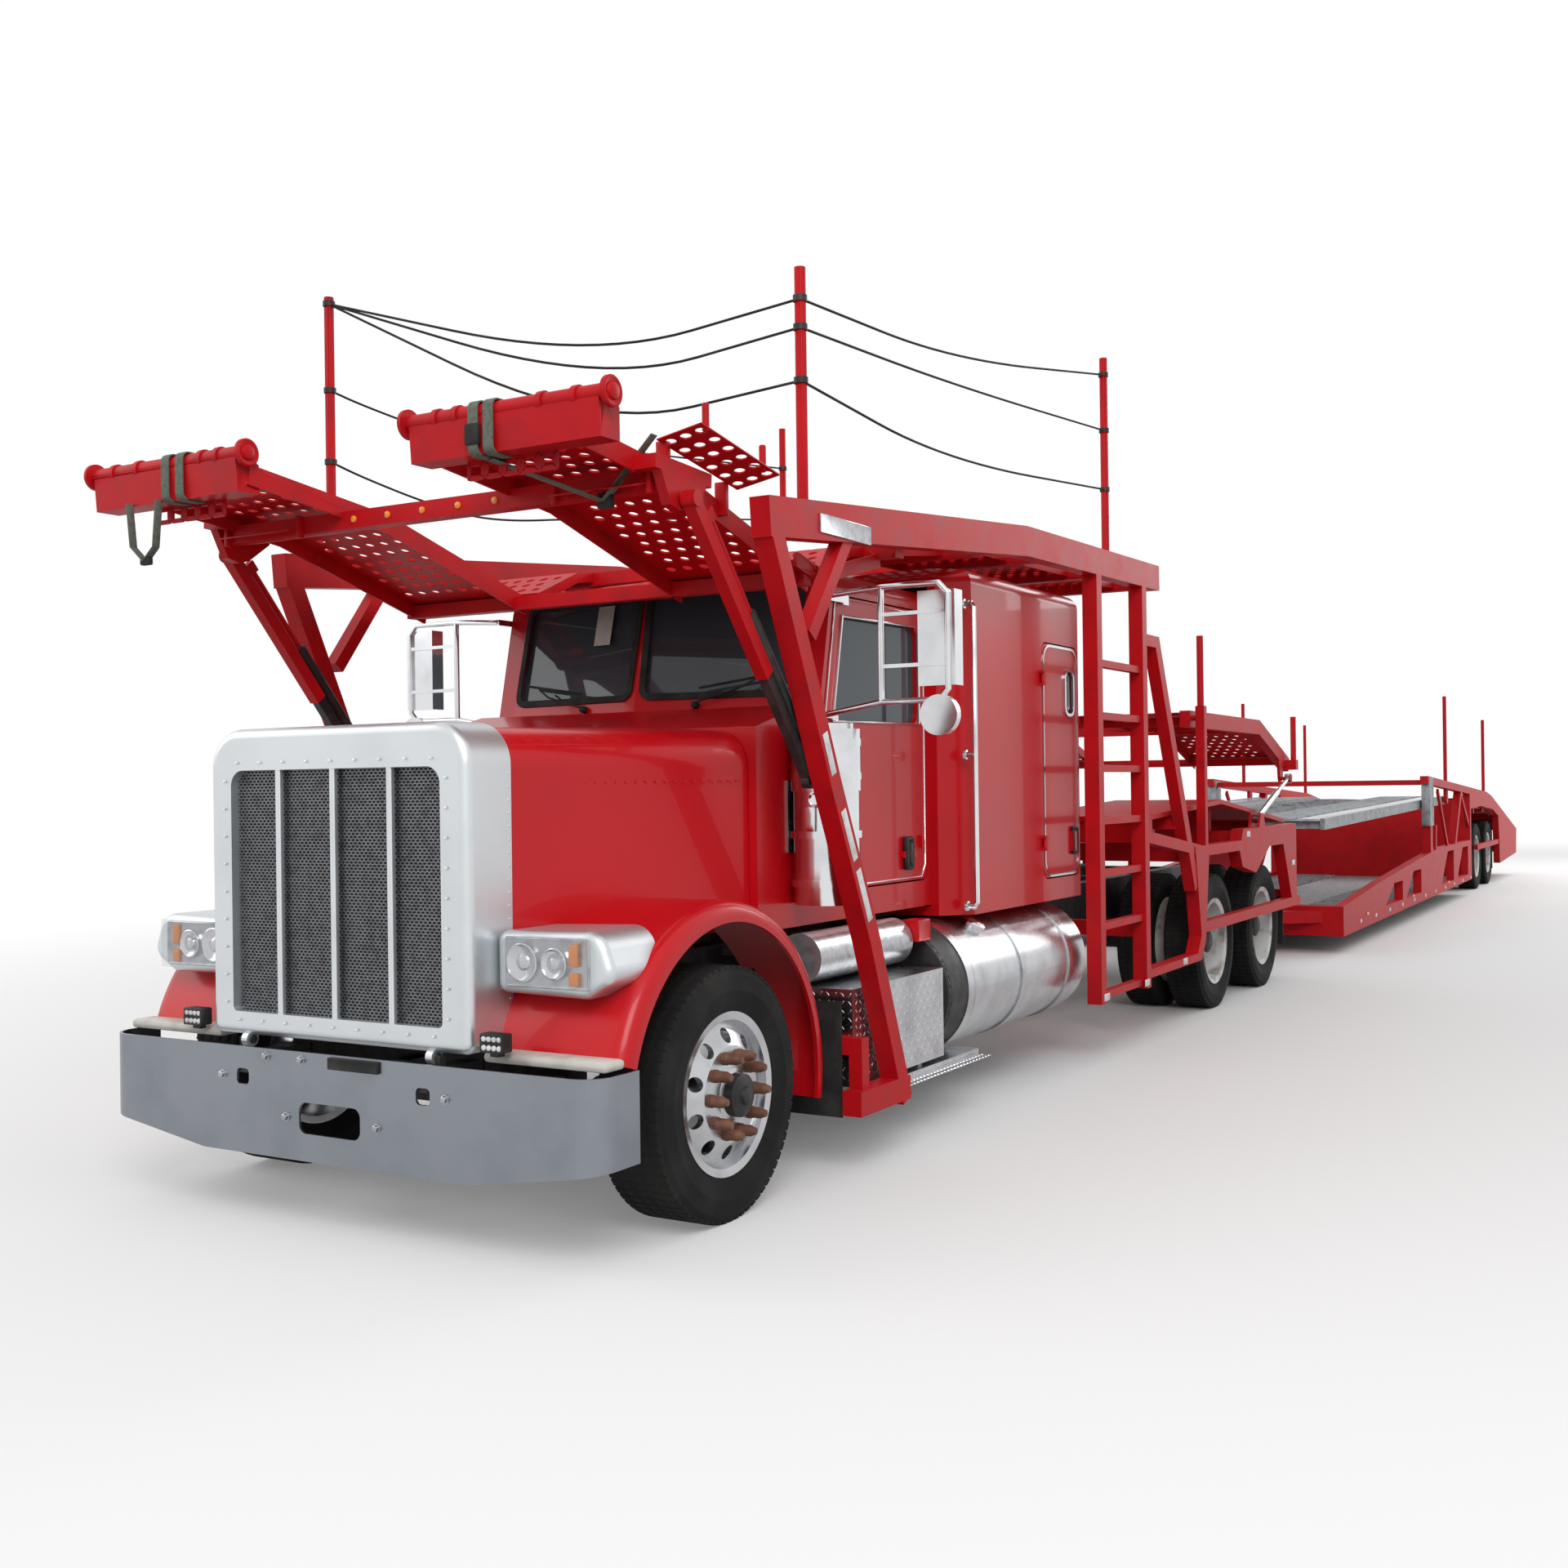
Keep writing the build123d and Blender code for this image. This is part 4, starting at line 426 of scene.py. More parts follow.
def stationHeight(track, station):
    # height of a broken line at a station
    for (s1, h1), (s2, h2) in zip(track, track[1:]):
        if station <= s2 or (s2, h2) == track[-1]:
            return h1 + (h2 - h1) * (station - s1) / (s2 - s1)


def sleeve(centre, facing, inner, outer, length, sides):
    # band round an axis
    profile = [(0, inner), (0, outer), (length, outer), (length, inner)]
    return turned(centre, facing, profile, sides)


def sidePlane(side, x, station, z):
    # place that faces a side of the vehicle, its width along Y
    return Matrix(((0, 0, side, x), (1, 0, 0, at(station)), (0, 1, 0, z), (0, 0, 0, 1)))


def frontPlane(x, station, z):
    # place that faces the front of the vehicle, its width along X
    return Matrix(((1, 0, 0, x), (0, 0, -1, at(station)), (0, 1, 0, z), (0, 0, 0, 1)))


def slope(start, finish):
    # turn that lays a length along two points of the side view
    return Matrix.Rotation(math.atan2(finish[1] - start[1], finish[0] - start[0]), 4, "X")


def plank(start, finish, width, thick, edge=0.0015):
    # flat bar from point to point, its width level across the run
    run = Vector(finish) - Vector(start)
    piece = bar((-width / 2, 0, -thick / 2), (width / 2, run.length, thick / 2), edge)
    turn = run.to_track_quat("Y", "Z").to_matrix().to_4x4()
    piece.data.transform(Matrix.Translation(start) @ turn)
    return piece


def drill(piece, cutter):
    # take the cutter's shape out of a piece
    pick(piece)
    cut = piece.modifiers.new("holes", "BOOLEAN")
    cut.operation = "DIFFERENCE"
    cut.solver = "EXACT"
    cut.object = cutter
    bpy.ops.object.modifier_apply(modifier="holes")
    bpy.data.objects.remove(cutter)


def holedPlate(corner, across, along, thick, radius, columns, rows):
    # plate spanned from a corner by two edges, with rows of holes
    width, length = Vector(across).length, Vector(along).length
    plate = bar((0, 0, -thick / 2), (width, length, thick / 2), 0.0015)
    hole = turned((0, 0, -thick), (0, 0, 1), [(0, radius), (2 * thick, radius)], 12)
    spots = [
        ((c + 0.5) * width / columns, (r + 0.5) * length / rows, 0) for c in range(columns)
        for r in range(rows)
    ]
    drill(plate, spread(hole, moves(spots)))
    x = Vector(across).normalized()
    z = x.cross(Vector(along)).normalized()
    turn = Matrix((x, z.cross(x), z)).transposed().to_4x4()
    plate.data.transform(Matrix.Translation(corner) @ turn)
    return plate


# grille: sheet with rows of oblong holes behind the bars

grille = {
    "half": 0.522, "bottom": 0.76, "top": 1.668, "pitch": 0.0205, "row": 0.0113, "wall": 0.0021,
    "deep": 0.003
}
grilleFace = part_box("grille_mesh")[0][1] - 0.0045
clearAll()
bpy.ops.mesh.primitive_circle_add(vertices=6, radius=1, fill_type="NGON", location=(0, 0, 0))
cell = bpy.context.object
cell.data.transform(Matrix.Rotation(math.radians(30), 4, "Z"))
cell.data.transform(Matrix.Diagonal((grille["pitch"] / math.sqrt(3), grille["row"] / 1.5, 1, 1)))
editAll()
bpy.ops.mesh.inset(thickness=grille["wall"])
bpy.ops.mesh.extrude_region_move(TRANSFORM_OT_translate={"value": (0, 0, -grille["deep"])})
bpy.ops.mesh.delete(type="FACE")
bpy.ops.object.mode_set(mode="OBJECT")
cell.data.transform(Matrix.Rotation(math.radians(90), 4, "X"))
columns = int(2 * grille["half"] / grille["pitch"])
rows = int((grille["top"] - grille["bottom"]) / grille["row"] / 2)
cell.data.transform(
    Matrix.Translation((-grille["half"] + grille["pitch"] / 2, grilleFace, grille["bottom"]))
)
secondRow = (grille["pitch"] / 2, 0, grille["row"])
pair = spread(cell, moves([(0, 0, 0), secondRow]))
for count, offset in ((columns, (grille["pitch"], 0, 0)), (rows, (0, 0, 2 * grille["row"]))):
    pick(pair)
    array = pair.modifiers.new("rows", "ARRAY")
    array.use_relative_offset = False
    array.use_constant_offset = True
    array.constant_offset_displace = offset
    array.count = count
    bpy.ops.object.modifier_apply(modifier="rows")
settle(pair, "grilleSheet", "wireSilver", "hood")

# rivets: round the crown's opening, down its rear edge and along the hood

rivet = {"radius": 0.0055, "high": 0.003, "crownGap": 0.046, "hoodGap": 0.05}


def rivetHead(centre, facing):
    r, h = rivet["radius"], rivet["high"]
    return turned(centre, facing, [(-0.001, r), (h * 0.5, r * 0.85), (h, r * 0.4)], 8)


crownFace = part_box("grille_crown")[0][1] - 0.0002
places = []
for step in range(9):
    z = 0.8 + 0.82 * step / 8
    places += [(x, crownFace, z) for x in (-0.545, 0.545)]
for step in range(9):
    x = -0.48 + 0.96 * step / 8
    places += [(x, crownFace, z) for z in (0.737, 1.688)]
settle(spread(rivetHead((0, 0, 0), (0, -1, 0)), moves(places)), "crownRivets", "chromeTrim", "hood")
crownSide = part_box("grille_crown")[1][0] - 0.0004
edgeRivets = [(crownSide, at(0.255), 0.76 + rivet["crownGap"] * step) for step in range(20)]
side = spread(rivetHead((0, 0, 0), (1, 0, 0)), moves(edgeRivets))
settle(bothSides(side), "crownEdgeRivets", "satinSilver", "hood")
hoodRun = [
    (0.632 + 0.228 * step / 22, at(0.31 + rivet["hoodGap"] * step), 1.6) for step in range(23)
]
side = spread(rivetHead((0, 0, 0), (1, -0.19, 0)), moves(hoodRun))
settle(bothSides(side), "hoodRivets", "redPaint", "hood")

# head lamps: grey bowl plate, two round reflectors, amber lamp, clear cover

lamp = {"face": 0.170, "inner": 0.685, "outer": 1.045, "low": 0.905, "high": 1.078}
face = at(lamp["face"])
plate = bar(
    (lamp["inner"], face - 0.004, lamp["low"]), (lamp["outer"], face + 0.01, lamp["high"]), 0.02
)
plate = dish(plate, (0, -1, 0), 0.006, 0.003)
settle(bothSides(plate), "lampPlates", "lampGrey", "hood")
bowls = []
for x, radius in ((0.765, 0.066), (0.902, 0.054)):
    profile = [
        (0, radius), (0.012, radius), (0.014, radius * 0.93), (0.007, radius * 0.8),
        (0.002, radius * 0.45), (0.008, radius * 0.38), (0.012, radius * 0.2)
    ]
    bowls.append(turned((x, face - 0.001, 0.992), (0, -1, 0), profile, 32))
settle(bothSides(together(bowls)), "lampReflectors", "chromeTrim", "hood")
eye = turned(
    (0.902, face - 0.006, 0.992), (0, -1, 0), [(0, 0.034), (0.006, 0.03), (0.01, 0.016)], 28
)
settle(bothSides(eye), "lampEyes", "clearLens", "hood")
turnLamps = [
    bar((0.965, face - 0.012, 0.92), (1.0, face, 0.965)),
    bar((0.965, face - 0.012, 0.985), (1.0, face, 1.06))
]
turnLamps.append(
    turned(
        (1.085, at(0.19), 0.99), (0.7, -0.7, 0), [(0, 0.013), (0.006, 0.011), (0.008, 0.005)], 16
    )
)
settle(bothSides(together(turnLamps)), "turnLamps", "amberLens", "hood")
cover = bar(
    (lamp["inner"] - 0.008, face - 0.024, lamp["low"] - 0.008),
    (lamp["outer"] + 0.006, face - 0.016, lamp["high"] + 0.008), 0.003
)
settle(bothSides(cover), "lampCovers", "clearLens", "hood")

# bumper: bolts by its openings, bracket for a plate, strips and work lamps on the fenders

bumperBolts = [
    (0.245, 0.41), (-0.2, 0.41), (0.56, 0.538), (-0.53, 0.538), (-0.3, 0.62), (-0.12, 0.62)
]
head = turned(
    (0, 0, 0), (0, -1, 0),
    [(-0.002, 0.017), (0.002, 0.017), (0.003, 0.013), (0.014, 0.012), (0.017, 0.008)], 16
)
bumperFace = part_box("front_bumper")[0][1]
bolts = spread(head, moves([(x, bumperFace, z) for x, z in bumperBolts]))
settle(bolts, "bumperBolts", "brightSteel", "tractor")
bracket = dish(
    bar((0.02, bumperFace - 0.012, 0.598), (0.26, bumperFace + 0.002, 0.64)), (0, -1, 0), 0.008,
    0.004
)
settle(bracket, "bumperBracket", "blackRubber", "tractor")
strip = bar((0.648, at(0.09), 0.655), (1.165, at(0.2), 0.69), 0.014)
settle(bothSides(strip), "fenderStrips", "paleTrim", "hood")
lampBody = dish(
    bar((0.685, at(0.03), 0.7), (0.785, at(0.085), 0.765), 0.006), (0, -1, 0), 0.008, 0.01
)
foot = bar((0.715, at(0.05), 0.685), (0.755, at(0.08), 0.705), 0.002)
settle(bothSides(together([lampBody, foot])), "workLamps", "blackSteel", "hood")
bead = turned(
    (0.702, at(0.036), 0.717), (0, -1, 0), [(0, 0.01), (0.004, 0.009), (0.006, 0.004)], 12
)
beads = spread(bead, moves([(0.022 * a, 0, 0.03 * b) for a in range(4) for b in range(2)]))
settle(bothSides(beads), "workLampBeads", "whiteTape", "hood")
print("front dressed")

# windscreen: rubber round each pane, wipers with their arms

screen = {
    "station": 1.88, "cornerStation": 2.0, "cornerHalf": 0.8, "cowl": 1.925, "lean": 0.22,
    "middle": 0.302, "width": 0.753, "height": 0.49
}


def paneMatrix(side):
    # across the pane, up the pane, out of the pane
    inner = Vector((0, at(screen["station"]), screen["cowl"]))
    outer = Vector((side * screen["cornerHalf"], at(screen["cornerStation"]), screen["cowl"]))
    lean = Vector((0, screen["lean"], 1))
    across = (outer - inner).normalized() * side
    upward = lean.normalized()
    outward = across.cross(upward).normalized()
    centre = inner + (outer - inner) * 0.5 + lean * screen["middle"]
    turn = Matrix((across, outward.cross(across), outward)).transposed().to_4x4()
    return Matrix.Translation(centre) @ turn


gaskets = []
wipers = []
for side in (1, -1):
    pane = paneMatrix(side)
    gaskets.append(hoop(screen["width"] + 0.03, screen["height"] + 0.03, 0.06, 0.03, 0.009, pane))
    base = -screen["height"] / 2
    arm = line(
        [
            pane @ Vector(p)
            for p in (
                (-0.1 * side, base - 0.04, 0.03), (0.12 * side, base + 0.015, 0.045),
                (0.2 * side, base + 0.06, 0.035)
            )
        ],
        0.005
    )
    blade = line(
        [
            pane @ Vector(p)
            for p in ((-0.08 * side, base + 0.03, 0.022), (0.3 * side, base + 0.085, 0.022))
        ],
        0.006
    )
    hub = turned(
        pane @ Vector((-0.1 * side, base - 0.045, 0.005)), pane.to_3x3() @ Vector((0, 0, 1)),
        [(0, 0.018), (0.02, 0.016), (0.028, 0.008)], 14
    )
    wipers += [arm, blade, hub]
settle(together(gaskets), "screenGaskets", "blackRubber", "tractor")
settle(together(wipers), "wipers", "blackRubber", "tractor")

# doors: beads round the window and the edge, handle; bunk doors: beads, pane, handle

doorSide = 0.9035
bunkSide = 1.0695
doorWindow = [(2.115, 1.86), (2.215, 2.33), (2.985, 2.34), (2.985, 1.87)]
doorEdge = [
    (2.05, 1.15), (2.05, 1.86), (2.16, 2.405), (3.045, 2.405), (3.045, 1.19), (3.0, 1.13),
    (2.09, 1.13)
]
for side, letter in ((1, "left"), (-1, "right")):
    bead = line([(side * (doorSide + 0.001), at(s), z) for s, z in doorWindow], 0.008, closed=True)
    settle(bead, "doorBead" + letter.title(), "chromeTrim", "door_" + letter)
    x = sorted((side * 0.9, side * 0.93))
    handle = dish(
        bar((x[0], at(2.80), 1.17), (x[1], at(2.88), 1.33), 0.014), (side, 0, 0), 0.01, 0.012
    )
    x = sorted((side * 0.915, side * 0.936))
    paddle = bar((x[0], at(2.82), 1.2), (x[1], at(2.85), 1.3), 0.005)
    settle(
        together([handle, paddle]), "doorHandle" + letter.title(), "blackSteel", "door_" + letter
    )
    bead = line([(side * (doorSide - 0.002), at(s), z) for s, z in doorEdge], 0.004, closed=True)
    settle(bead, "doorEdge" + letter.title(), "chromeTrim", "door_" + letter)
    face = sidePlane(side, side * bunkSide, 4.4675, 1.7)
    frames = [hoop(0.535, 1.28, 0.1, 0.014, 0.006, face)]
    face = sidePlane(side, side * bunkSide, 4.595, 2.085)
    frames.append(hoop(0.15, 0.27, 0.06, 0.018, 0.012, face))
    settle(together(frames), "bunkBead" + letter.title(), "chromeTrim", "bunk_door_" + letter)
    x = sorted((side * 1.058, side * 1.066))
    pane = bar((x[0], at(4.535), 1.965), (x[1], at(4.655), 2.205), 0.003)
    settle(pane, "bunkPane" + letter.title(), "darkGlass", "bunk_door_" + letter)
    x = sorted((side * 1.072, side * 1.092))
    handle = dish(
        bar((x[0], at(4.61), 1.17), (x[1], at(4.69), 1.33), 0.014), (side, 0, 0), 0.012, 0.01
    )
    settle(handle, "bunkHandle" + letter.title(), "blackSteel", "bunk_door_" + letter)
print("cab dressed")

# chrome air cleaners: bands, intake disc and latch

cleaner = {"x": 1.048, "station": 1.79, "radius": 0.149}
bands = []
for z in (1.16, 1.36, 1.6, 1.74):
    r = cleaner["radius"]
    centre = (cleaner["x"], at(cleaner["station"]), z)
    bands.append(sleeve(centre, (0, 0, 1), r - 0.006, r + 0.003, 0.03, 40))
front = at(cleaner["station"]) - cleaner["radius"]
bands.append(
    turned(
        (cleaner["x"] + 0.03, front + 0.006, 1.52), (0.2, -1, 0),
        [(0, 0.034), (0.01, 0.034), (0.012, 0.028), (0.006, 0.02), (0.006, 0.006)], 24
    )
)
bands.append(
    bar(
        (cleaner["x"] - 0.02, front - 0.014, 1.39), (cleaner["x"] + 0.03, front + 0.01, 1.49), 0.004
    )
)
settle(bothSides(together(bands)), "cleanerBands", "chromeTrim", "tractor")

# fuel tanks: straps, front end, filler cap; step: raised studs

tank = {"x": 0.86, "height": 0.6, "radius": 0.315}
r = tank["radius"]
straps = []
for station in (2.95, 3.6, 4.28):
    centre = (tank["x"], at(station), tank["height"])
    straps.append(sleeve(centre, (0, 1, 0), r - 0.004, r + 0.005, 0.055, 48))
settle(bothSides(together(straps)), "tankStraps", "brightSteel", "tractor")
end = turned(
    (tank["x"], at(2.72), tank["height"]), (0, -1, 0),
    [(0, r + 0.002), (0.018, r - 0.002), (0.026, r - 0.03), (0.03, r - 0.06), (0.032, 0.05)], 48
)
settle(bothSides(end), "tankEnds", "blackSteel", "tractor")
cap = turned(
    (tank["x"] + 0.16, at(3.3), tank["height"] + 0.25), (0.5, 0, 0.85),
    [(0, 0.055), (0.03, 0.055), (0.034, 0.062), (0.05, 0.062), (0.056, 0.05)], 24
)
settle(bothSides(cap), "tankCaps", "chromeTrim", "tractor")
stud = turned(
    (1.115, at(1.99), 0.2895), (0, 0, 1),
    [(0, 0.011), (0.004, 0.009), (0.004, 0.006), (0.001, 0.005)], 10
)
studs = spread(stud, moves([(0.035 * a, 0.035 * b, 0) for a in range(5) for b in range(29)]))
settle(bothSides(studs), "stepTreads", "polishedAluminium", "tractor")

# sleeper: grab tubes on its front edges, switch box

grab = [
    (1.1, at(3.16), 0.97), (1.125, at(3.16), 1.0), (1.125, at(3.16), 2.44), (1.1, at(3.16), 2.47)
]
tube = line(grab, 0.014)
feet = [
    turned(
        (1.068, at(3.16), z), (1, 0, 0), [(0, 0.026), (0.01, 0.024), (0.012, 0.015), (0.05, 0.014)],
        16
    )
    for z in (0.98, 1.72, 2.46)
]
settle(bothSides(together([tube, *feet])), "grabTubes", "chromeTrim", "tractor")
box = dish(bar((1.0, at(2.57), 0.855), (1.09, at(2.7), 0.955), 0.006), (1, 0, 0), 0.012, 0.006)
settle(box, "switchBox", "redPaint", "tractor")
print("tanks and sleeper dressed")

# wheels: tread blocks, lug covers or studs, hub caps

wheel = {
    "height": wheelValues["axleHeight"], "outside": 0.4645, "inside": 0.44,
    "grooveWidth": 0.012, "blocks": 72, "lugs": 10, "lugCircle": 0.143
}


def treadBlocks(low, high, rows, count):
    # one row of blocks across the tyre
    gap = wheel["grooveWidth"]
    pitch = (high - low + gap) / rows
    blocks = []
    length = 2 * math.pi * wheel["outside"] / count
    for row in range(rows):
        x = low + pitch * row
        corner = (x + pitch - gap, length * 0.4, wheel["outside"])
        blocks.append(bar((x, -length * 0.4, wheel["inside"]), corner, 0.003))
    return together(blocks)


fittings = {
    # the lugs and then the hub's cap: where each starts, how many sides it has, its profile
    "steer": {
        "lugs": "lugCovers", "lugX": 1.161, "lugSides": 10, "turn": math.radians(18),
        "lug": [
            (0, 0.024), (0.018, 0.024), (0.022, 0.021), (0.058, 0.0205), (0.066, 0.016),
            (0.078, 0.013)
        ],
        "hubX": 1.15, "hubSides": 32,
        "hub": [
            (0, 0.094), (0.012, 0.094), (0.016, 0.08), (0.062, 0.078), (0.07, 0.066),
            (0.074, 0.034), (0.086, 0.03), (0.09, 0.012)
        ],
    },
    "twin": {
        "lugs": "studs", "lugX": 0.943, "lugSides": 6, "turn": 0,
        "lug": [(0, 0.02), (0.01, 0.02), (0.012, 0.016), (0.03, 0.015), (0.034, 0.01)],
        "hubX": 1.134, "hubSides": 28,
        "hub": [(0, 0.083), (0.012, 0.083), (0.02, 0.07), (0.03, 0.05), (0.034, 0.02)],
    },
}


for name, station, edges, rows in (
    ("steer", 0.844, [(0.905, 1.155)], 5),
    *[
        (wheelName, station, [(0.645, 0.865), (0.975, 1.195)], 4)
        for wheelName, station in axleStations.items()
    ],
):
    axle = (0, at(station), wheel["height"])
    for side, letter in ((1, "left"), (-1, "right")):
        treads = []
        for inner, outer in edges:
            low, high = sorted((side * inner, side * outer))
            strip = treadBlocks(low, high, rows, wheel["blocks"])
            strip.data.transform(Matrix.Translation(axle))
            treads.append(ringOf(strip, axle, wheel["blocks"]))
        body = "steer_wheel_" + letter if name == "steer" else name + "_" + letter
        label = "".join(word.title() for word in name.split("_")) + letter.title()
        settle(together(treads), "tread" + label, "tyreBlack", body)
        # lug covers or studs, and the cap of the hub
        kind = fittings["steer" if name == "steer" else "twin"]
        ending = letter.title() if name == "steer" else label
        centre = (side * kind["lugX"], at(station), wheel["height"] + wheel["lugCircle"])
        lug = turned(centre, (side, 0, 0), kind["lug"], kind["lugSides"])
        lugRing = ringOf(lug, axle, wheel["lugs"], kind["turn"])
        settle(lugRing, kind["lugs"] + ending, "brownCap", body)
        centre = (side * kind["hubX"], at(station), wheel["height"])
        cap = turned(centre, (side, 0, 0), kind["hub"], kind["hubSides"])
        settle(cap, "hubCap" + ending, "blackSteel", body)
print("wheels dressed")

# safety lines between the load poles

lineRadius = 0.0055
crossLines = [
    # passenger's end, middle point, driver's end
    [(-1.252, at(1.265), 3.83), (0.3, at(1.2), 3.33), (1.252, at(1.265), 3.441)],
    [(-1.252, at(1.265), 3.83), (0.35, at(1.2), 3.22), (1.252, at(1.265), 3.331)],
    [(-1.252, at(1.265), 3.83), (0.3, at(1.2), 3.04), (1.252, at(1.265), 3.127)],
]
sideLines = [
    # side, station and height of each point
    (1, [(1.267, 3.441), (2.66, 3.518), (4.735, 3.896)]),
    (1, [(1.267, 3.331), (2.66, 3.405), (4.735, 3.579)]),
    (1, [(1.267, 3.127), (2.56, 3.041), (4.735, 3.243)]),
    (-1, [(1.27, 3.43), (1.467, 3.403), (1.907, 3.368), (5.39, 3.75)]),
    (
        -1,
        [(1.27, 3.1), (1.461, 3.062), (1.901, 3.002), (2.388, 2.975), (3.227, 3.112), (5.39, 3.4)]
    ),
]


def hanging(points):
    # run between the end points, rounded off towards the points between them
    smooth = [Vector(points[0])]
    for before, here, after in zip(points, points[1:], points[2:]):
        a = (Vector(before) + Vector(here)) / 2
        b = (Vector(here) + Vector(after)) / 2
        for step in range(13):
            t = step / 12
            smooth.append(a * (1 - t) ** 2 + Vector(here) * 2 * t * (1 - t) + b * t**2)
    smooth.append(Vector(points[-1]))
    return smooth


lines = [line(hanging(points), lineRadius) for points in crossLines]
lines += [
    line(hanging([(side * 1.252, at(s), z) for s, z in points]), lineRadius)
    for side, points in sideLines
]
settle(together(lines), "safetyLines", "blackRubber", "tractor")
collars = []
for x, station, heights in (
    (1.252, 1.265, (3.441, 3.331, 3.127)),
    (1.252, 4.74, (3.896, 3.579, 3.243)),
    (-1.252, 1.265, (3.83, 3.43, 3.1)),
    (-1.252, 5.39, (3.75, 3.4)),
):
    for z in heights:
        collars.append(sleeve((x, at(station), z - 0.012), (0, 0, 1), 0.023, 0.028, 0.024, 16))
settle(together(collars), "poleCollars", "blackSteel", "tractor")

# white strips on the front posts

tapeValues = {"inner": 1.2945, "outer": 1.2965, "postOuter": 1.2962, "half": 0.02, "edge": 0.0004}
tapes = []
for start, finish in (
    ((1.7, 1.03), (1.6, 1.24)), ((1.58, 1.28), (1.48, 1.48)), ((1.41, 1.62), (1.34, 1.78))
):
    reach = math.dist(start, finish) / 2
    low = (tapeValues["inner"], -reach, -tapeValues["half"])
    tape = bar(low, (tapeValues["postOuter"], reach, tapeValues["half"]), tapeValues["edge"])
    middle = (0, at((start[0] + finish[0]) / 2), (start[1] + finish[1]) / 2)
    tape.data.transform(Matrix.Translation(middle) @ slope(start, finish))
    tapes.append(tape)
settle(bothSides(together(tapes)), "postTapes", "whiteTape", "tractor")
print("rack dressed")

# perforated decks: copies of the solids with rows of holes through their plates

deckHoles = {"radius": 0.021, "pitch": 0.082, "first": 0.492, "columns": 7, "thick": 0.05}
deckTable = [
    # node, new piece, body, line of the plate, first and last row
    (
        "head_ramp", "headRampDeck", "head_ramp", [(0.06, 2.786), (0.78, 2.696), (1.66, 2.436)],
        0.17, 1.55
    ),
    (
        "overcab_deck", "overcabDeck", "tractor",
        [(1.74, 2.476), (2.03, 2.6), (3.457, 2.776), (5.6, 2.811)], 1.8, 5.5
    ),
    (
        "hump_deck", "humpDeck", "hump_deck", [(6.54, 2.031), (8.39, 2.021), (9.33, 1.736)], 6.65,
        9.25
    ),
]


def perforated(nodeName, name, body, track, first, last):
    # boolean of all the holes at once from a merged copy of the node
    deck = bpy.data.objects.new(name, nodes[nodeName].data.copy())
    bpy.context.scene.collection.objects.link(deck)
    pick(deck)
    editAll()
    bpy.ops.mesh.remove_doubles(threshold=0.00005)
    bpy.ops.object.mode_set(mode="OBJECT")
    hole = turned(
        (0, 0, -deckHoles["thick"] / 2), (0, 0, 1),
        [(0, deckHoles["radius"]), (deckHoles["thick"], deckHoles["radius"])], 10
    )
    places = []
    rows = int((last - first) / deckHoles["pitch"])
    for row in range(rows + 1):
        station = first + deckHoles["pitch"] * row
        for column in range(deckHoles["columns"] - row % 2):
            x = deckHoles["first"] + deckHoles["pitch"] * (column + 0.5 * (row % 2))
            places += [(side * x, at(station), stationHeight(track, station)) for side in (1, -1)]
    cutter = spread(hole, moves(places))
    drill(deck, cutter)
    settle(deck, name, "rackRed", body, 12)
    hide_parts(nodeName)


for row in deckTable:
    perforated(*row)
print("decks perforated")

# front flaps of the head ramp: discs, clamps, webbing with buckles, holed lip

flap = {"inner": 0.43, "outer": 1.235, "tubeStation": 0.034, "tubeHeight": 2.832}
lip = {"first": 0.64, "gap": 0.078, "station": 0.11, "height": 2.66}
strap = {"station": 0.058, "height": 2.777, "width": 0.126, "tall": 0.186}
ends = []
for x, facing in ((flap["inner"] - 0.02, -1), (flap["outer"] + 0.02, 1)):
    axle = (x, at(flap["tubeStation"]), flap["tubeHeight"])
    ends.append(
        turned(
            axle, (facing, 0, 0),
            [
                (0, 0.052), (0.014, 0.052), (0.018, 0.046), (0.014, 0.03), (0.022, 0.026),
                (0.026, 0.016)
            ],
            28
        )
    )
for x in (0.53, 0.62, 0.98, 1.12):
    centre = (x, at(flap["tubeStation"]), flap["tubeHeight"])
    ends.append(sleeve(centre, (1, 0, 0), 0.03, 0.037, 0.022, 24))
ends.append(bar((1.13, at(0.06), 2.835), (1.2, at(0.1), 2.87), 0.006))
settle(bothSides(together(ends)), "flapEnds", "rackRed", "head_ramp")
lipHoles = []
for step in range(5):
    place = frontPlane(lip["first"] + lip["gap"] * step, lip["station"], lip["height"])
    lipHoles.append(hoop(0.0785, 0.066, 0.012, 0.017, 0.008, place))
settle(bothSides(together(lipHoles)), "flapLips", "rackRed", "head_ramp")


def strapLoop(x):
    place = sidePlane(1, x, strap["station"], strap["height"])
    return hoop(strap["width"], strap["tall"], 0.03, 0.005, 0.042, place)


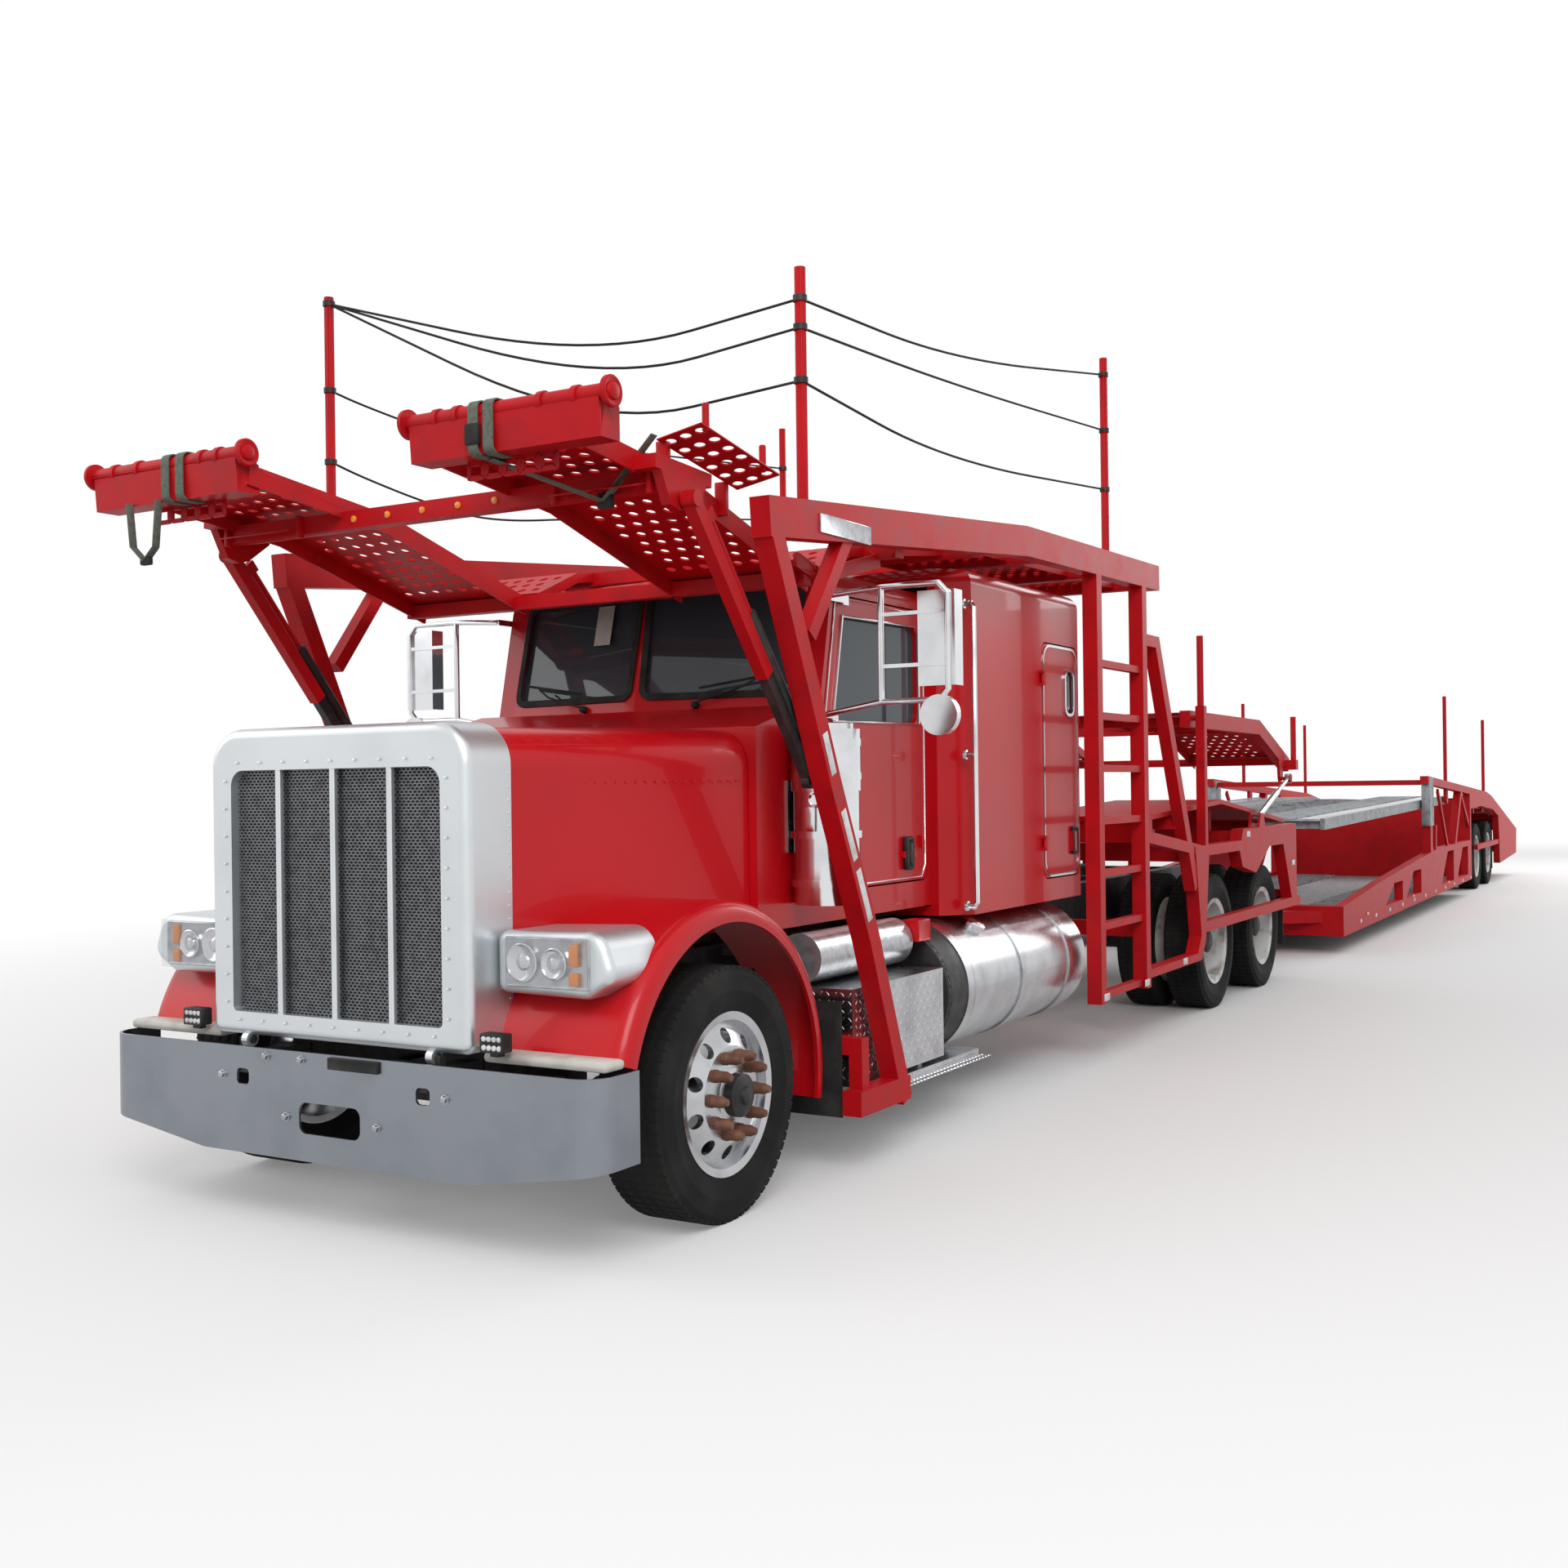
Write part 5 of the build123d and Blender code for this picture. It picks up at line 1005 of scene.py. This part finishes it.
webs = [strapLoop(x) for x in (0.7, 0.765)]
webs.append(plank((0.74, at(0.06), 2.68), (0.88, at(0.49), 2.59), 0.04, 0.004))
webs.append(plank((0.89, at(0.49), 2.59), (1.1, at(0.5), 2.8), 0.04, 0.004))
for (x1, z1), (x2, z2) in (
    ((-1.02, 2.7), (-1.0, 2.53)), ((-1.0, 2.53), (-0.93, 2.47)), ((-0.93, 2.47), (-0.87, 2.52)),
    ((-0.87, 2.52), (-0.85, 2.7))
):
    webs.append(plank((x1, at(0.0), z1), (x2, at(0.0), z2), 0.034, 0.004))
webs += [strapLoop(x) for x in (-0.75, -0.83)]
settle(together(webs), "flapWebbing", "greyWebbing", "head_ramp")
buckles = [bar((0.69, at(-0.012), 2.72), (0.75, at(0.004), 2.79), 0.004)]
buckles.append(bar((0.855, at(0.49), 2.565), (0.915, at(0.52), 2.62), 0.006))
buckles.append(bar((-0.95, at(-0.012), 2.455), (-0.9, at(0.012), 2.485), 0.005))
settle(together(buckles), "flapBuckles", "blackRubber", "head_ramp")

# holed wings beside the ramp, shelves at the ends of its cross tube, amber lamps on the tube

wingFeet = {"inner": 1.035, "outer": 1.08, "pegX": 1.235, "pegRadius": 0.013}
wing = holedPlate((1.06, at(0.57), 2.8), (0.19, 0, 0.035), (0, 0.5, -0.105), 0.006, 0.021, 3, 6)
pegs = []
for s, z in ((0.62, 2.815), (1.0, 2.735)):
    x = wingFeet["pegX"]
    pegs.append(rod((x, at(s), z), (x, at(s), z + 0.1), wingFeet["pegRadius"]))
for s, z in ((0.6, 2.675), (0.98, 2.59)):
    corner = (wingFeet["outer"], at(s + 0.03), z + 0.125)
    pegs.append(bar((wingFeet["inner"], at(s), z), corner, 0.003))
settle(bothSides(together([wing, *pegs])), "rampWings", "rackRed", "head_ramp")
shelf = holedPlate((0.66, at(0.46), 2.625), (0.4, 0, 0), (0, 0.11, 0.03), 0.006, 0.019, 6, 1)
lugs = [bar((x, at(0.5), 2.6), (x + 0.02, at(0.53), 2.69), 0.004) for x in (0.64, 1.06)]
settle(bothSides(together([shelf, *lugs])), "tubeShelves", "rackRed", "head_ramp")
tubeLamp = turned((0, at(0.526), 2.65), (0, -1, 0), [(0, 0.014), (0.006, 0.013), (0.01, 0.007)], 14)
settle(
    spread(tubeLamp, moves([(x, 0, 0) for x in (-0.36, -0.18, 0, 0.18, 0.36)])), "tubeLamps",
    "amberLens", "head_ramp"
)
print("flaps dressed")

# side marks, and the plate on the deck's rail


def sideMark(front, rear, low, high):
    # thin mark on the vehicle's side
    inner, outer = tapeValues["inner"], tapeValues["outer"]
    return bar((inner, at(front), low), (outer, at(rear), high), tapeValues["edge"])


marks = [sideMark(11.7 + 0.75 * step, 11.77 + 0.75 * step, 0.222, 0.256) for step in range(11)]
settle(bothSides(together(marks)), "beamTapes", "whiteTape", "trailer")
marks = [
    sideMark(s, s + 0.09, z, z + 0.04)
    for s, z in ((4.5, 0.36), (5.22, 0.36), (6.0, 0.41), (8.98, 0.9), (7.6, 1.17))
]
settle(bothSides(together(marks)), "bodyTapes", "whiteTape", "tractor")
plateBack = dish(
    bar((1.294, at(1.32), 2.55), (1.301, at(1.74), 2.625), 0.003), (1, 0, 0), 0.008, 0.002
)
settle(plateBack, "railPlate", "lampGrey", "tractor")
print("marks placed")

# visor: black lining under it, chrome strip along its front edge; blank sheet on one pane

visor = {"front": (1.735, 2.424), "rear": (1.99, 2.504), "half": 0.79}
long = math.dist(visor["front"], visor["rear"])
lining = bar((-visor["half"], 0, -0.02), (visor["half"], long, -0.009), 0.002)
corner = (0, at(visor["front"][0]), visor["front"][1])
lining.data.transform(Matrix.Translation(corner) @ slope(visor["front"], visor["rear"]))
settle(lining, "visorLining", "blackSteel", "tractor")
settle(
    bar((-0.8, at(1.722), 2.404), (0.8, at(1.731), 2.424), 0.003), "visorStrip", "chromeTrim",
    "tractor"
)
sheet = bar((-0.1, 0.02, 0.006), (0.005, 0.21, 0.0075), 0.0004)
sheet.data.transform(paneMatrix(-1) @ Matrix.Translation((0.2, 0, 0)))
settle(sheet, "screenSheet", "paleSheet", "tractor")

# tanks: dark wrap at the front

centre = (tank["x"], at(2.73), tank["height"])
wrap = turned(centre, (0, 1, 0), [(0, r + 0.003), (0.2, r + 0.003), (0.2, r - 0.002)], 48)
settle(bothSides(wrap), "tankWraps", "blackSteel", "tractor")

# trailer: ribs and pale plates on the middle deck

midTrack = [(10.7, 1.245), (17.6, 1.365), (17.9, 1.365)]
midRib = {"first": 10.76, "gap": 0.087, "count": 82, "long": 0.03, "inner": 0.42, "outer": 0.9}
midWalk = {"x": 1.02, "front": 10.8, "rear": 17.55, "sunk": 0.028, "width": 0.2}
midRibs = []
for step in range(midRib["count"]):
    station = midRib["first"] + midRib["gap"] * step
    height = stationHeight(midTrack, station)
    corner = (midRib["outer"], at(station + midRib["long"]), height - 0.014)
    midRibs.append(bar((midRib["inner"], at(station), height - 0.033), corner, 0.004))
settle(bothSides(together(midRibs)), "midDeckRibs", "galvanised", "mid_deck")
walkEnds = [
    (midWalk["x"], at(s), stationHeight(midTrack, s) - midWalk["sunk"])
    for s in (midWalk["front"], midWalk["rear"])
]
settle(bothSides(plank(*walkEnds, midWalk["width"], 0.008)), "midDeckWalks", "lampGrey", "mid_deck")

# trailer: lamps, plate holder, mudflaps, struts

tail = {"rear": 24.62, "height": 0.42, "places": (0.62, 0.78, 0.94)}
tailPlaces = moves([(x, 0, 0) for x in tail["places"]])
rim = [(0, 0.05), (0.012, 0.05), (0.014, 0.044)]
lampBody = turned((0, at(tail["rear"] - 0.002), tail["height"]), (0, 1, 0), rim, 24)
settle(bothSides(spread(lampBody, tailPlaces)), "tailLampRims", "blackRubber", "trailer")
dome = [(0, 0.043), (0.006, 0.041), (0.01, 0.03), (0.012, 0.012)]
lens = turned((0, at(tail["rear"] + 0.01), tail["height"]), (0, 1, 0), dome, 24)
settle(bothSides(spread(lens, tailPlaces)), "tailLamps", "redLens", "trailer")
face = at(tail["rear"] - 0.001)
marker = bar((-0.04, face, 0.405), (0.04, at(tail["rear"] + 0.012), 0.435), 0.006)
markers = spread(marker, moves([(x, 0, 0) for x in (-0.2, 0, 0.2)]))
settle(markers, "rearMarkers", "redLens", "trailer")
holder = bar((-0.17, face, 0.22), (0.17, at(tail["rear"] + 0.006), 0.375), 0.004)
settle(dish(holder, (0, 1, 0), 0.008, 0.002), "rearPlate", "lampGrey", "trailer")
sideLamp = bar((1.2945, at(12.0), 0.27), (1.303, at(12.08), 0.3), 0.003)
settle(
    bothSides(spread(sideLamp, moves([(0, 2.6 * n, 0) for n in range(3)]))), "sideLamps",
    "amberLens", "trailer"
)
flapSheet = bar((0.62, at(22.44), 0.2), (1.19, at(22.448), 0.86), 0.002)
hanger = bar((0.5, at(22.43), 0.85), (1.21, at(22.46), 0.89), 0.004)
settle(bothSides(flapSheet), "trailerMudflaps", "blackRubber", "trailer")
settle(bothSides(hanger), "mudflapHangers", "blackSteel", "trailer")
strut = {"x": 1.27, "width": 0.03, "thick": 0.06, "edge": 0.005}
struts = []
for s1, z1, s2, z2 in (
    (16.61, 1.43, 17.39, 0.68), (16.42, 1.02, 16.37, 0.5), (19.3, 0.9, 18.48, 1.4)
):
    start, finish = (strut["x"], at(s1), z1), (strut["x"], at(s2), z2)
    struts.append(plank(start, finish, strut["width"], strut["thick"], strut["edge"]))
settle(bothSides(together(struts)), "trussStruts", "rackRed", "trailer")
post = dish(bar((1.205, at(15.85), 1.02), (1.302, at(16.12), 1.58), 0.006), (1, 0, 0), 0.02, 0.006)
settle(bothSides(post), "trussPlates", "galvanised", "trailer")
print("trailer dressed")

# step boxes: raised lozenges of the tread plate on their outer and front faces

lozenge = {"long": 0.026, "wide": 0.009, "high": 0.0025, "pitch": 0.034}
clearAll()
bpy.ops.mesh.primitive_circle_add(vertices=6, radius=0.5, fill_type="NGON", location=(0, 0, 0))
seed = bpy.context.object
seed.data.transform(Matrix.Diagonal((lozenge["long"], lozenge["wide"], 1, 1)))
editAll()
bpy.ops.mesh.extrude_region_move(TRANSFORM_OT_translate={"value": (0, 0, lozenge["high"])})
bpy.ops.transform.resize(value=(0.6, 0.5, 1))
bpy.ops.object.mode_set(mode="OBJECT")
places = []
for plane, columns, rows in (
    (sidePlane(1, 1.19, 1.75, 0.36), 25, 11), (frontPlane(0.65, 1.73, 0.36), 16, 11)
):
    for column in range(columns):
        for row in range(rows):
            slant = Matrix.Rotation(math.radians(45 if (column + row) % 2 else -45), 4, "Z")
            offset = Matrix.Translation(
                (0.017 + lozenge["pitch"] * column, 0.017 + lozenge["pitch"] * row, 0)
            )
            places.append(plane @ offset @ slant)
settle(bothSides(spread(seed, places)), "boxTread", "polishedAluminium", "tractor")
print("boxes dressed")

# camera at the photograph's place, floor, soft light

camera = bpy.data.objects.new("camera", bpy.data.cameras.new("camera"))
bpy.context.scene.collection.objects.link(camera)
yaw, pitch, roll = math.radians(30.4734), math.radians(0.1068), math.radians(-0.739)
forward = Vector(
    (-math.sin(yaw) * math.cos(pitch), math.cos(yaw) * math.cos(pitch), math.sin(pitch))
)
level = Vector((math.cos(yaw), math.sin(yaw), 0))
upward = level.cross(forward)
right = math.cos(roll) * level + math.sin(roll) * upward
above = -math.sin(roll) * level + math.cos(roll) * upward
turn = Matrix((right, above, -forward)).transposed().to_4x4()
camera.matrix_world = Matrix.Translation((4.2864, at(-4.0599), 1.5736)) @ turn
camera.data.lens = 36.8
camera.data.sensor_width = 36
camera.data.clip_end = 200
bpy.context.scene.camera = camera


def seenRays(tree):
    # camera, glossy and transmission rays together
    path = addNode(tree, "LightPath")
    total = path.outputs["Is Camera Ray"]
    for kind in ("Is Glossy Ray", "Is Transmission Ray"):
        add = addNode(tree, "Math", operation="MAXIMUM")
        tree.links.new(total, add.inputs[0])
        tree.links.new(path.outputs[kind], add.inputs[1])
        total = add.outputs["Value"]
    return total


floorValues = {"size": 400, "color": (0.8, 0.8, 0.8), "bounce": (0.34, 0.34, 0.34)}
clearAll()
bpy.ops.mesh.primitive_plane_add(size=floorValues["size"], location=(0, 0, 0))
floor = bpy.context.object
floor.name = "floor"
floorMaterial = bpy.data.materials.new("floorPaint")
floorMaterial.use_nodes = True
floorShader = floorMaterial.node_tree.nodes["Principled BSDF"]
floorShader.inputs["Roughness"].default_value = 0.9
floorShader.inputs["Specular IOR Level"].default_value = 0.1
floor.data.materials.append(floorMaterial)

# the far floor is plain white where it is seen, so that no horizon shows,
# and the light that it throws back on the vehicle comes from a darker floor
fade = {"near": 9, "far": 26, "middle": (0, 2, 0)}
tree = floorMaterial.node_tree
link = tree.links.new
start = [-c for c in fade["middle"]]
mapping = addNode(tree, "Mapping", {"Location": start, "Scale": (1.9, 1, 1)})
length = addNode(tree, "VectorMath", operation="LENGTH")
reach = addNode(tree, "MapRange", {"From Min": fade["near"], "From Max": fade["far"]})
reach.interpolation_type = "SMOOTHSTEP"
both = addNode(tree, "Math", operation="MULTIPLY")
white = addNode(tree, "Emission")
mix = addNode(tree, "MixShader")
seen = seenRays(tree)
link(addNode(tree, "TexCoord").outputs["Object"], mapping.inputs["Vector"])
link(mapping.outputs["Vector"], length.inputs[0])
link(length.outputs["Value"], reach.inputs["Value"])
link(reach.outputs["Result"], both.inputs[0])
link(seen, both.inputs[1])
shade = addNode(tree, "Mix")
shade.data_type = "RGBA"
shade.inputs[mixSockets["first"]].default_value = (*floorValues["bounce"], 1)
shade.inputs[mixSockets["second"]].default_value = (*floorValues["color"], 1)
link(seen, shade.inputs["Factor"])
link(shade.outputs[mixSockets["result"]], floorShader.inputs["Base Color"])
link(both.outputs["Value"], mix.inputs["Fac"])
link(floorShader.outputs["BSDF"], mix.inputs[1])
link(white.outputs["Emission"], mix.inputs[2])
link(mix.outputs["Shader"], tree.nodes["Material Output"].inputs["Surface"])

worldValues = {"light": 0.7, "seen": 1.0}
world = bpy.data.worlds.new("studio")
bpy.context.scene.world = world
world.use_nodes = True
tree = world.node_tree
background = tree.nodes["Background"]
background.inputs["Color"].default_value = (1, 1, 1, 1)
span = {"To Min": worldValues["light"], "To Max": worldValues["seen"]}
strength = addNode(tree, "MapRange", span)
tree.links.new(seenRays(tree), strength.inputs["Value"])
tree.links.new(strength.outputs["Result"], background.inputs["Strength"])

lampTable = [
    # name, place, energy, size
    ("keyLamp", (9, at(-9), 11), 1300, 8),
    ("fillLamp", (-12, at(-4), 8), 400, 9),
    ("rearLamp", (6, at(28), 10), 1200, 10),
]
for name, place, energy, size in lampTable:
    lampObject = bpy.data.objects.new(name, bpy.data.lights.new(name, "AREA"))
    bpy.context.scene.collection.objects.link(lampObject)
    lampObject.data.energy = energy
    lampObject.data.size = size
    lampObject.location = place
    aim = Vector((0, at(6), 1)) - Vector(place)
    lampObject.rotation_euler = aim.to_track_quat("-Z", "Y").to_euler()
bpy.context.scene.view_settings.view_transform = "Standard"
print("camera and light placed")
